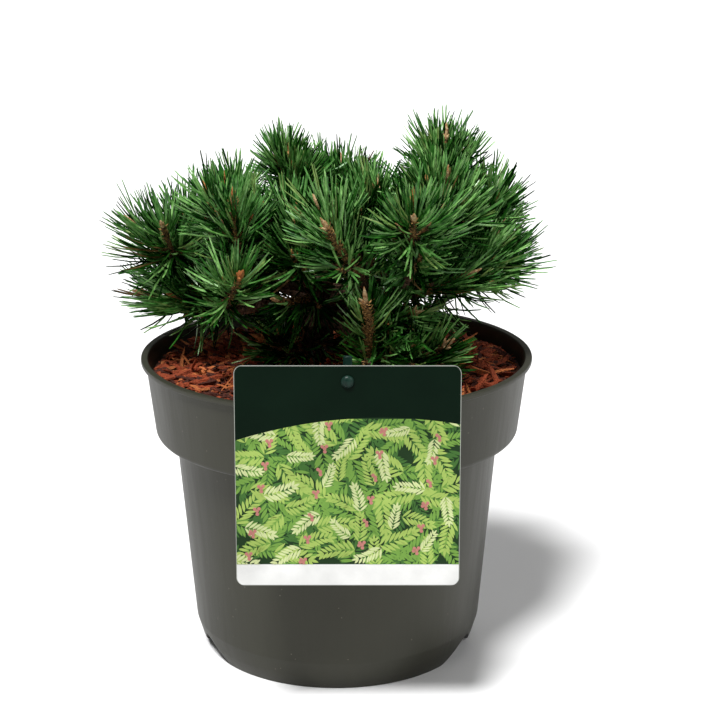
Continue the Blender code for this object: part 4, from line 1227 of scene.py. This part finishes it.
def keep_clear(roots, starts, ends, lengths, owners):
    """True for each needle that stays off the mulch, the lip, the label, every limb and the gaps."""
    limb_lines = [(trunk_path, trunk_thickness, "trunk")]
    limb_lines += [(points, radii, name) for name, (_, points, radii) in BOUGHS.items()]
    for name, paths in SHOOTS.items():
        limb_lines += [(path, [TWIG_RADIUS] * len(path), name) for path in paths.values()]
    runs = [
        (tuple(points[i]), tuple(points[i + 1]), max(radii[i], radii[i + 1]), name)
        for points, radii, name in limb_lines
        for i in range(len(points) - 1)
    ]
    lows, highs, thick, who = (np.array(column) for column in zip(*runs))
    strange = owners[:, None] != who[None]
    toward_view = unit(np.array(tuple(VIEWPOINT)) - roots)
    window = np.where(np.isin(owners, BARE_STEMS), STEM_WINDOW, NARROW_STEM_WINDOW)
    facing = np.einsum("ni,ni->n", toward_view, starts) > window
    stray = np.random.default_rng(11).random(len(roots)) < STRAY_NEEDLES
    clear = ~facing | stray
    for share in TESTED_PARTS:
        spots = needle_points(roots, starts, ends, lengths, share)
        clear &= ~in_sky_gap(spots) | stray
        x, y, z = spots.T
        clear &= z > MULCH_MIDDLE_HEIGHT + MULCH_MARGIN
        clear &= (np.hypot(x, y) < RIM_RADIUS - RIM_MARGIN) | (z > RIM_HEIGHT + MULCH_MARGIN)
        for low, high in ((LABEL_LOW, LABEL_HIGH), (STAKE_LOW, STAKE_HIGH)):
            beside = (x > low[0] - LABEL_MARGIN) & (x < high[0] + LABEL_MARGIN)
            clear &= ~(beside & (z < high[2] + LABEL_MARGIN) & (y < high[1] + LABEL_MARGIN))
        for first in range(0, len(spots), TESTED_AT_ONCE):
            part = slice(first, first + TESTED_AT_ONCE)
            close = distances(spots[part], lows, highs) < thick + LIMB_MARGIN
            clear[part] &= ~(close & strange[part]).any(axis=1)
    return clear


def needle_skin(roots, starts, ends, backs, lengths, twists):
    """Points and triangles of needles: flat inside, rounded outside, tapering to a point."""
    rings = []
    for share, body in zip(NEEDLE_STATIONS, NEEDLE_BODY):
        spots = needle_points(roots, starts, ends, lengths, share)
        ahead = unit(starts + (ends - starts) * share)
        side = unit(np.cross(ahead, backs))
        back = np.cross(side, ahead)
        turn = (twists * share)[:, None]
        wide = (side * np.cos(turn) + back * np.sin(turn)) * NEEDLE_WIDTH * body / 2
        deep = (back * np.cos(turn) - side * np.sin(turn)) * NEEDLE_THICKNESS * body
        rings += [spots - wide, spots + wide, spots + deep]
    rings.append(needle_points(roots, starts, ends, lengths, 1.0))
    top = 3 * (len(NEEDLE_STATIONS) - 1)
    faces = tube_faces(len(NEEDLE_STATIONS), 3)
    faces += [(top + k, top + (k + 1) % 3, top + 3) for k in range(3)] + [(0, 2, 1)]
    return np.stack(rings, axis=1).reshape(-1, 3), copies(faces, len(roots), len(rings))


def sheath_skin(roots, axes):
    """Points and triangles of the papery sheaths that hold the pairs together at their foot."""
    side = unit(np.cross(axes, (0.31, 0.17, 0.93)))
    over = np.cross(axes, side)
    rings = []
    for share, body in SHEATH_RINGS:
        for k in range(3):
            turn = math.tau / 3 * k
            out = side * math.cos(turn) + over * math.sin(turn)
            rings.append(roots + axes * SHEATH_LENGTH * share + out * SHEATH_RADIUS * body)
    faces = tube_faces(len(SHEATH_RINGS), 3) + [(0, 2, 1), (6, 7, 8)]
    return np.stack(rings, axis=1).reshape(-1, 3), copies(faces, len(roots), len(rings))


def needle_finish(name, colour, pale, sheen):
    """A waxy needle: one green for each pair, with random paler patches painted as glints, and a satin gloss.
    """
    finish = Finish(name, colour, roughness=0.38, specular=sheen)
    # Painted glints: random paler patches along each needle, which also set its gloss.
    painted_glints = finish.effect(CLOUDS, Grain=4.0, Contrast=3.4)
    return finish.tint(painted_glints, pale).gloss(painted_glints, 0.42, 0.27).material


rows = []
for name in MASSES:
    chance = random.Random(name + " needles")
    long = NEEDLE_LENGTH * NEEDLE_VIGOUR.get(name, 1)
    beds = []
    for number, path in SHOOTS[name].items():
        full = THIN_SHOOTS.get((name, number), 1)
        beds.append((path, round(PAIRS_ON_SHOOT * full), NEEDLE_ZONE, NEEDLE_ANGLES, long * full**0.5))
    for path in WEAK[name]:
        beds.append((path, PAIRS_ON_WEAK_SHOOT, NEEDLE_ZONE, NEEDLE_ANGLES, long * WEAK_NEEDLE_PART))
    for path in FINE[name]:
        beds.append((path, PAIRS_ON_FINE_SHOOT, NEEDLE_ZONE, NEEDLE_ANGLES, long * FINE_NEEDLE_PART))
    bough = BOUGHS[name][1]
    beds.append((bough, PAIRS_ON_BOUGH, BOUGH_NEEDLE_ZONE, BOUGH_NEEDLE_ANGLES, long * FINE_NEEDLE_PART))
    for bed in beds:
        rows += grow_pairs(*bed, chance, name)

roots, starts, ends, backs, lengths, tints, owners = (np.array(column) for column in zip(*rows))
clear = keep_clear(roots, starts, ends, lengths, owners)
twists = np.random.default_rng(7).uniform(-NEEDLE_TWIST, NEEDLE_TWIST, len(roots))
growth = (roots, starts, ends, backs, lengths, twists)
for tint, (colour, pale, sheen, _, _) in NEEDLE_TINTS.items():
    finish = needle_finish("needle " + tint, colour, pale, sheen)
    chosen = np.flatnonzero(clear & (tints == tint))
    for number, first in enumerate(range(0, len(chosen), NEEDLES_IN_PIECE)):
        part = chosen[first:first + NEEDLES_IN_PIECE]
        name = f"needles_{tint}_{number + 1}"
        mesh = mesh_from_arrays(*needle_skin(*(values[part] for values in growth)), smooth=False)
        nodes = ["foliage_" + mass for mass in MASSES] if name == "needles_green_1" else ()
        place_piece(name, mesh, finish, nodes)

pairs = np.flatnonzero(clear)[::2]
sheaths = mesh_from_arrays(*sheath_skin(roots[pairs], unit(starts[pairs])))
place_piece("needle_sheaths", sheaths, twig_finish("needle sheath", SHEATH_BROWN, SHEATH_PALE))

# The buds
# Winter buds at the tips of the shoots: slim cones of overlapping scales, tan to reddish brown,
# some with a crust of whitish resin. The strongest shoots carry smaller buds round the main one.

BUD_RADIUS = 1.35 * MM
BUD_SIDES = 10
BUD_RINGS = 14
BUD_ROWS = 5
BUD_SPIRALS = 5
BUD_SINK = 1.0 * MM
STOUT_BUD = 1.3
SIDE_BUD_PART = 0.7
FINE_BUD_LENGTH = 5.0 * MM
BUD_CLUSTERS = {("low_right", 0): 6, ("left_star", 0): 4, ("top_back_left", 0): 4}
BUD_TINTS = {
    "tan": ((0.460, 0.205, 0.066), (0.700, 0.420, 0.165)),
    "russet": ((0.370, 0.120, 0.036), (0.600, 0.270, 0.090)),
    "resin": ((0.420, 0.200, 0.075), (0.850, 0.660, 0.380)),
}


def bud_skin(foot, axis, length, radius):
    """A slim cone of overlapping scales, standing in a spiral up the bud."""
    spots = np.array([tuple(foot + axis * length * i / (BUD_RINGS - 1)) for i in range(BUD_RINGS)])
    share = np.linspace(0, 1, BUD_RINGS)
    body = np.sin(math.pi * (0.16 + 0.84 * share) ** 0.85) ** 0.7
    radii = radius * np.maximum(body, 0.12)

    def relief(i, turn, spot):
        lap = (share[i] * BUD_ROWS + turn * BUD_SPIRALS / math.tau) % 1
        return radii[i] * (0.16 - 0.30 * lap)

    return limb_skin(spots, radii, BUD_SIDES, relief)


def bud_finish(name, colour, pale):
    """Papery bud scales with a resin bloom."""
    finish = Finish(name, colour, roughness=0.60, specular=0.2)
    bloom = finish.effect(CLOUDS, Grain=1.8, Contrast=4.0)
    shade = finish.effect(CLOUDS, Grain=0.8, Contrast=3.0)
    finish.tint(bloom, pale, 0.8).tint(shade, dimmed(colour, 0.4), 0.5)
    return finish.relief(shade, 0.2 * MM).material


buds = {tint: [] for tint in BUD_TINTS}
for name in MASSES:
    chance = random.Random(name + " buds")
    for number, path in SHOOTS[name].items():
        tip, axis = along(path, 1)
        start = tip - axis * BUD_SINK
        stout = BUD_RADIUS * (STOUT_BUD if (name, number) in BUD_CLUSTERS else 1)
        tint = chance.choice(list(BUD_TINTS))
        long = BUD_LENGTH * (chance.uniform(0.9, 1.2) if number == 0 else chance.uniform(0.6, 0.9))
        buds[tint].append(bud_skin(start, axis, long, stout * chance.uniform(0.85, 1.1)))
        beside = chance.choice((1, 2, 3)) if number == 0 else chance.choice((0, 1))
        for i in range(BUD_CLUSTERS.get((name, number), beside)):
            out = around(axis, 2.2 * i + chance.uniform(0, 1))
            lean = (axis + out * 0.55).normalized()
            root = start + out * 0.6 * MM
            side_length = long * chance.uniform(0.45, 0.65)
            buds[tint].append(bud_skin(root, lean, side_length, stout * SIDE_BUD_PART))
    for path in FINE[name]:
        tip, axis = along(path, 1)
        start = tip - axis * BUD_SINK
        tint = chance.choice(list(BUD_TINTS))
        buds[tint].append(bud_skin(start, axis, FINE_BUD_LENGTH, BUD_RADIUS * SIDE_BUD_PART))
for tint, (colour, pale) in BUD_TINTS.items():
    finish = bud_finish("bud " + tint, colour, pale)
    place_piece("buds_" + tint, mesh_from_arrays(*join(buds[tint])), finish)

# The label card
# A plastic card, printed and glossy, with rounded corners and a hole to hang by. It hangs on the
# stake's knob and leans on the pot's lip. Its print is a plain leaf pattern, with no words.

CARD_WIDTH = LABEL_HIGH[0] - LABEL_LOW[0]
CARD_MIDDLE_X = (LABEL_HIGH[0] + LABEL_LOW[0]) / 2
CARD_LEAN = math.radians(4)
CARD_THICKNESS = 0.8 * MM
CARD_HEIGHT = 122.0 * MM
CARD_CORNER = 4.5 * MM
CARD_CORNER_STEPS = 10
CARD_TOP = Vector((CARD_MIDDLE_X, -114.6 * MM, 204.5 * MM))
CARD_HOLE_RADIUS = 2.5 * MM
CARD_HOLE_DROP = 9.0 * MM
PRINT_INSET = 0.35 * MM
PRINT_THICKNESS = 0.02 * MM
CARD_GREY = (0.40, 0.42, 0.38)
PICTURE_FOOT = 12.0 * MM
PICTURE_EDGES = (81 * MM, 93 * MM, 90 * MM)
PICTURE_STRIPS = 24
HOLE_HEIGHT = CARD_HEIGHT - CARD_HOLE_DROP
HOLE_STRIPS = 16
HOLE_STEPS = 32
SPRIG_LAYERS = (
    ("pine", 62, (0.85, 1.15)),
    ("grass", 52, (0.8, 1.1)),
    ("lime", 40, (0.75, 1.05)),
    ("straw", 22, (0.6, 0.9)),
)
SPRIG_LENGTH = 21 * MM
SPRIG_PAIRS = 8
LEAFLET_LENGTH = 8.0 * MM
LEAFLET_WIDTH = 1.7 * MM
BERRY_CLUSTERS = 26
BERRY_RADIUS = 1.0 * MM
SPRIGS_UP = 84 * MM
BERRIES_UP = 82 * MM
PRINT_COLOURS = {
    "white": ((0.88, 0.88, 0.86), 0.30),
    "night": ((0.0018, 0.0100, 0.0045), 0.08),
    "ground": ((0.018, 0.045, 0.016), 0.10),
    "pine": ((0.065, 0.170, 0.040), 0.10),
    "grass": ((0.190, 0.370, 0.070), 0.12),
    "lime": ((0.400, 0.560, 0.130), 0.15),
    "straw": ((0.660, 0.740, 0.360), 0.20),
    "coral": ((0.560, 0.230, 0.190), 0.15),
}


def on_card(across, up, proud):
    """The point on the card's front, from its bottom middle, standing proud of the front."""
    down = Vector((0, -math.sin(CARD_LEAN), -math.cos(CARD_LEAN)))
    out = Vector((0, -math.cos(CARD_LEAN), math.sin(CARD_LEAN)))
    top = CARD_TOP + Vector((across, 0, 0))
    return top + down * (CARD_HEIGHT - up) + out * (CARD_THICKNESS / 2 + proud)


def rounded_corners(width, height):
    """The corners of a rectangle from its bottom middle, each rounded as the card's are."""
    points = []
    for i, (right, up) in enumerate(((1, 1), (-1, 1), (-1, -1), (1, -1))):
        x = right * (width / 2 - CARD_CORNER)
        y = height / 2 + up * (height / 2 - CARD_CORNER)
        for step in range(CARD_CORNER_STEPS + 1):
            turn = math.pi / 2 * (i + step / CARD_CORNER_STEPS)
            points.append((x + CARD_CORNER * math.cos(turn), y + CARD_CORNER * math.sin(turn)))
    return points


def picture_top(across):
    """The height of the picture's upper edge: a shallow curve, highest right of the middle."""
    left, peak, right = PICTURE_EDGES
    share = across / CARD_WIDTH + 0.5
    bend = (2 * peak - (left + right) / 2) * 2 * share * (1 - share)
    return left * (1 - share) ** 2 + bend + right * share**2


def clipped(shape, keep):
    """The part of a flat outline that a list of half planes (point, inward normal) keeps."""
    for (px, py), (nx, ny) in keep:
        inside = [(x - px) * nx + (y - py) * ny for x, y in shape]
        cut = []
        for i, (a, side_a) in enumerate(zip(shape, inside)):
            b = shape[(i + 1) % len(shape)]
            side_b = inside[(i + 1) % len(shape)]
            if side_a >= 0:
                cut.append(a)
            if side_a * side_b < 0:
                t = side_a / (side_a - side_b)
                cut.append((a[0] + (b[0] - a[0]) * t, a[1] + (b[1] - a[1]) * t))
        shape = cut
        if not shape:
            break
    return shape


def print_layer(shapes):
    """Flat printed shapes, each a fan of triangles, raised in the order they were printed."""
    points = []
    triangles = []
    for order, shape in shapes:
        first = len(points)
        proud = PRINT_THICKNESS * (1 + order)
        points += [on_card(x, y, proud) for x, y in shape]
        triangles += [(first, first + i, first + i + 1) for i in range(1, len(shape) - 1)]
    return mesh_from_arrays(points, triangles, smooth=False)


def leaf_shape(x, y, turn, length, width):
    """A pointed leaf from its foot at (x, y), toward a turn in radians."""
    outline = []
    steps = 5
    for hand in (1, -1):
        for i in range(steps):
            share = i / steps if hand == 1 else 1 - i / steps
            half = hand * width / 2 * math.sin(math.pi * share) ** 0.8
            reach = share * length
            outline.append((
                x + reach * math.cos(turn) - half * math.sin(turn),
                y + reach * math.sin(turn) + half * math.cos(turn),
            ))
    return outline


def sprig_shapes(x, y, turn, size, chance):
    """The leaflets of one curved sprig: pairs up its stem and one at its tip."""
    shapes = []
    curl = chance.uniform(-0.7, 0.7)
    step = SPRIG_LENGTH * size / SPRIG_PAIRS
    for i in range(SPRIG_PAIRS):
        turn += curl / SPRIG_PAIRS
        x += step * math.cos(turn)
        y += step * math.sin(turn)
        long = LEAFLET_LENGTH * size * (1 - 0.45 * i / SPRIG_PAIRS)
        for hand in (-1, 1):
            lean = turn + hand * chance.uniform(0.6, 0.85)
            shapes.append(leaf_shape(x, y, lean, long, LEAFLET_WIDTH * size))
    shapes.append(leaf_shape(x, y, turn, LEAFLET_LENGTH * size * 0.7, LEAFLET_WIDTH * size))
    return shapes


def dot_shape(x, y, radius, steps=10):
    """A round dot, as an outline."""
    turns = [math.tau * i / steps for i in range(steps)]
    return [(x + radius * math.cos(turn), y + radius * math.sin(turn)) for turn in turns]


def hole_half(across):
    """Half the height of the card's hole at a distance from its middle."""
    return math.sqrt(max(CARD_HOLE_RADIUS**2 - across**2, 0))


def print_finish(name, colour, specular):
    """Printed glossy card: even ink with a faint grain, under a thin varnish."""
    finish = Finish(name, colour, roughness=0.30, specular=specular)
    ink = finish.effect(CLOUDS, Grain=0.8, Contrast=2.0)
    handled = finish.effect(CLOUDS, Grain=22.0, Contrast=2.0)
    finish.tint(handled, dimmed(colour, 0.66)).tint(ink, dimmed(colour, 0.85), 0.4)
    return finish.gloss(handled, 0.26, 0.38).relief(handled, 0.05 * MM).material


def card_body():
    """The card: a rounded sheet with its hole, standing at its lean."""
    outline = rounded_corners(CARD_WIDTH, CARD_HEIGHT)
    hole = dot_shape(0, HOLE_HEIGHT, CARD_HOLE_RADIUS, HOLE_STEPS)
    spot = on_card(0, 0, -CARD_THICKNESS / 2)
    return cut_sheet([outline, hole], CARD_THICKNESS, (math.pi / 2 - CARD_LEAN, 0, 0), spot)


def dark_band(inside, edge):
    """The band over the picture, in upright strips that leave the card's hole free."""
    strips = []
    for left, right in zip(edge, edge[1:]):
        strip = clipped(inside, [((left, 0), (1, 0)), ((right, 0), (-1, 0))])
        slope = picture_top(right) - picture_top(left)
        strip = clipped(strip, [((left, picture_top(left)), (-slope, right - left))])
        low = hole_half(left)
        rise = hole_half(right) - low
        if max(low, low + rise) == 0:
            strips.append(strip)
        else:
            strips.append(clipped(strip, [((left, HOLE_HEIGHT + low), (-rise, right - left))]))
            strips.append(clipped(strip, [((left, HOLE_HEIGHT - low), (-rise, left - right))]))
    return [strip for strip in strips if strip]


def card_print():
    """The printed shapes by colour, each with its place in the order of printing."""
    chance = random.Random("label print")
    width = CARD_WIDTH - 2 * PRINT_INSET
    inside = [
        (x, min(max(y, PRINT_INSET), CARD_HEIGHT - PRINT_INSET))
        for x, y in rounded_corners(width, CARD_HEIGHT)
    ]
    edge = [width * (i / PICTURE_STRIPS - 0.5) for i in range(PICTURE_STRIPS + 1)]
    edge += [CARD_HOLE_RADIUS * math.cos(math.pi * i / HOLE_STRIPS) for i in range(HOLE_STRIPS + 1)]
    edge.sort()
    picture = [(x, picture_top(x)) for x in reversed(edge)]
    picture += [(-width / 2, PICTURE_FOOT), (width / 2, PICTURE_FOOT)]
    picture_lines = [(a, (a[1] - b[1], b[0] - a[0])) for a, b in zip(picture, picture[1:] + picture[:1])]
    shapes = {colour: [] for colour in PRINT_COLOURS}
    shapes["white"].append((0, clipped(inside, [((0, PICTURE_FOOT), (0, -1))])))
    shapes["night"] += [(0, strip) for strip in dark_band(inside, edge)]
    shapes["ground"].append((0, picture))

    def lay(colour, order, outline):
        """Prints an outline in a colour, as far as it lies in the picture."""
        shape = clipped(outline, picture_lines)
        if len(shape) > 2:
            shapes[colour].append((order, shape))

    order = 1
    for colour, count, sizes in SPRIG_LAYERS:
        for i in range(count):
            x = width * ((i * 0.618034) % 1 - 0.5)
            y = PICTURE_FOOT + SPRIGS_UP * (i + 0.5) / count + chance.uniform(-3, 3) * MM
            turn = chance.uniform(0, math.tau)
            size = chance.uniform(*sizes)
            start_x = x - SPRIG_LENGTH * size / 2 * math.cos(turn)
            start_y = y - SPRIG_LENGTH * size / 2 * math.sin(turn)
            for leaf in sprig_shapes(start_x, start_y, turn, size, chance):
                lay(colour, order, leaf)
            order += 0.05
    for i in range(BERRY_CLUSTERS):
        x = width * ((i * 0.754878 + 0.3) % 1 - 0.5)
        y = PICTURE_FOOT + BERRIES_UP * (i + 0.5) / BERRY_CLUSTERS
        for k in range(chance.choice((3, 4, 5))):
            turn = 2.4 * k
            gap = BERRY_RADIUS * 1.7 * (k > 0)
            lay("coral", order, dot_shape(x + gap * math.cos(turn), y + gap * math.sin(turn), BERRY_RADIUS))
    return shapes


card_plastic = print_finish("card plastic", CARD_GREY, 0.4)
place_piece("label_card_body", card_body(), card_plastic, ["label_card"])
for colour, shapes in card_print().items():
    finish = print_finish("ink " + colour, *PRINT_COLOURS[colour])
    place_piece("label_print_" + colour, print_layer(shapes), finish)

# The label's stake
# A flat green plastic stake, pushed into the soil just inside the lip. A round peg on its upper
# end holds the card by its hole, under a domed knob moulded on the peg's end.

STAKE_WIDTH = 5.0 * MM
STAKE_THICKNESS = 2.0 * MM
PEG_RADIUS = 1.75 * MM
KNOB_RADIUS = 3.5 * MM
KNOB_DEPTH = STAKE_WIDTH * 0.4
STAKE_ROUNDING = 0.5 * MM
STAKE_EDGE = math.radians(40)
STAKE_GREEN = (0.004, 0.017, 0.012)
STAKE_SCUFFED = (0.018, 0.050, 0.036)


def stake_mesh():
    """The bar with rounded edges, the peg through the card's hole and the domed knob, as one mesh."""
    work = bmesh.new()
    height = STAKE_HIGH[2] - STAKE_LOW[2]
    y = STAKE_HIGH[1] - STAKE_THICKNESS / 2
    middle = Vector((STAKE_MIDDLE.x, y, STAKE_LOW[2] + height / 2))
    size = Matrix.Diagonal((STAKE_WIDTH, STAKE_THICKNESS, height, 1))
    bmesh.ops.create_cube(work, size=1, matrix=Matrix.Translation(middle) @ size)
    bmesh.ops.bevel(work, geom=work.edges[:], offset=STAKE_ROUNDING, segments=3, affect="EDGES")
    knob_back = STAKE_LOW[1] + KNOB_DEPTH
    hole_height = on_card(0, HOLE_HEIGHT, -CARD_THICKNESS / 2).z
    peg_height = hole_height + CARD_HOLE_RADIUS - PEG_RADIUS - GAP
    flat = Matrix.Rotation(math.pi / 2, 4, "X")
    peg = Matrix.Translation((STAKE_MIDDLE.x, (y + knob_back) / 2, peg_height)) @ flat
    add_bar(work, PEG_RADIUS, y - knob_back + 0.4 * MM, peg)
    knob = bmesh.ops.create_uvsphere(work, u_segments=32, v_segments=16, radius=KNOB_RADIUS)["verts"]
    for vertex in knob:
        vertex.co.z = max(vertex.co.z, 0) * KNOB_DEPTH / KNOB_RADIUS
    pose = Matrix.Translation((STAKE_MIDDLE.x, knob_back, peg_height)) @ flat
    bmesh.ops.transform(work, matrix=pose, verts=knob)
    mesh = finished(work)
    mesh.shade_smooth()
    mesh.set_sharp_from_angle(angle=STAKE_EDGE)
    return mesh


def stake_finish():
    """Dark green moulded plastic, scuffed and dusty with soil."""
    finish = Finish("green stake plastic", STAKE_GREEN, roughness=0.35, specular=0.2)
    scuffs = finish.effect(CLOUDS, Grain=2.0, Stretch=5.0, Contrast=3.0)
    finish.tint(scuffs, STAKE_SCUFFED, 0.5)
    return finish.gloss(scuffs, 0.22, 0.4).relief(scuffs, 0.08 * MM).material


place_piece("label_stake_body", stake_mesh(), stake_finish(), ["label_stake"])

# The studio
# A plain near-white floor under soft light from both sides, in front and above, and the camera
# that looks down on the pot from a metre away.

FLOOR_SIZE = 24.0
FLOOR_WHITE = (0.90, 0.90, 0.90)
FLOOR_BOUNCE = (0.38, 0.38, 0.38)
FLOOR_GLOSS_PART = 0.36
FILM_WIDTH = 36.0
SKY_STRENGTH = 0.07

# Each lamp: the way it lies, how wide it is in degrees, and its strength.
SOFT_LAMPS = (
    ((-0.28, -0.58, 1.20), 14, 4.50),
    ((-0.80, -0.70, 0.45), 50, 0.27),
    ((0.90, -0.45, 0.60), 45, 1.00),
    ((0.10, 0.60, 1.00), 40, 0.45),
)


def soft_lamp(toward, spread, strength):
    """A wide, far lamp that lights the whole floor evenly, as a studio's soft ceiling does."""
    lamp = bpy.data.lights.new("soft lamp", "SUN")
    lamp.angle = math.radians(spread)
    lamp.energy = strength
    holder = add_object("soft lamp", lamp)
    holder.location = toward
    holder.rotation_euler = Vector(toward).to_track_quat("Z", "Y").to_euler()


def floor_finish():
    """White board, which throws less light back up on the plant than it shows to the camera."""
    finish = Finish("floor white", FLOOR_BOUNCE, roughness=0.7)
    rays = add_node(finish.tree, "LightPath").outputs
    sight = maths(finish.tree, "MULTIPLY_ADD", rays["Is Glossy Ray"], FLOOR_GLOSS_PART, rays["Is Camera Ray"])
    return finish.tint(sight, FLOOR_WHITE).material


floor_mesh = bpy.data.meshes.new("floor")
half = FLOOR_SIZE / 2
corners = [(-half, -half, 0), (half, -half, 0), (half, half, 0), (-half, half, 0)]
floor_mesh.from_pydata(corners, [], [(0, 1, 2, 3)])
floor_mesh.materials.append(floor_finish())
add_object("floor", floor_mesh)

for toward, spread, strength in SOFT_LAMPS:
    soft_lamp(toward, spread, strength)
world = bpy.data.worlds.new("studio")
bpy.context.scene.world = world
world.use_nodes = True
world.node_tree.nodes["Background"].inputs["Color"].default_value = (1, 1, 1, 1)
world.node_tree.nodes["Background"].inputs["Strength"].default_value = SKY_STRENGTH
bpy.context.scene.view_settings.view_transform = "Standard"

camera = bpy.data.cameras.new("camera")
camera.sensor_width = FILM_WIDTH
camera.lens = FOCAL_PIXELS / IMAGE_PIXELS * FILM_WIDTH
holder = add_object("camera", camera)
holder.location = VIEWPOINT
holder.rotation_euler = (math.pi / 2 - VIEW_TILT, 0, 0)
bpy.context.scene.camera = holder
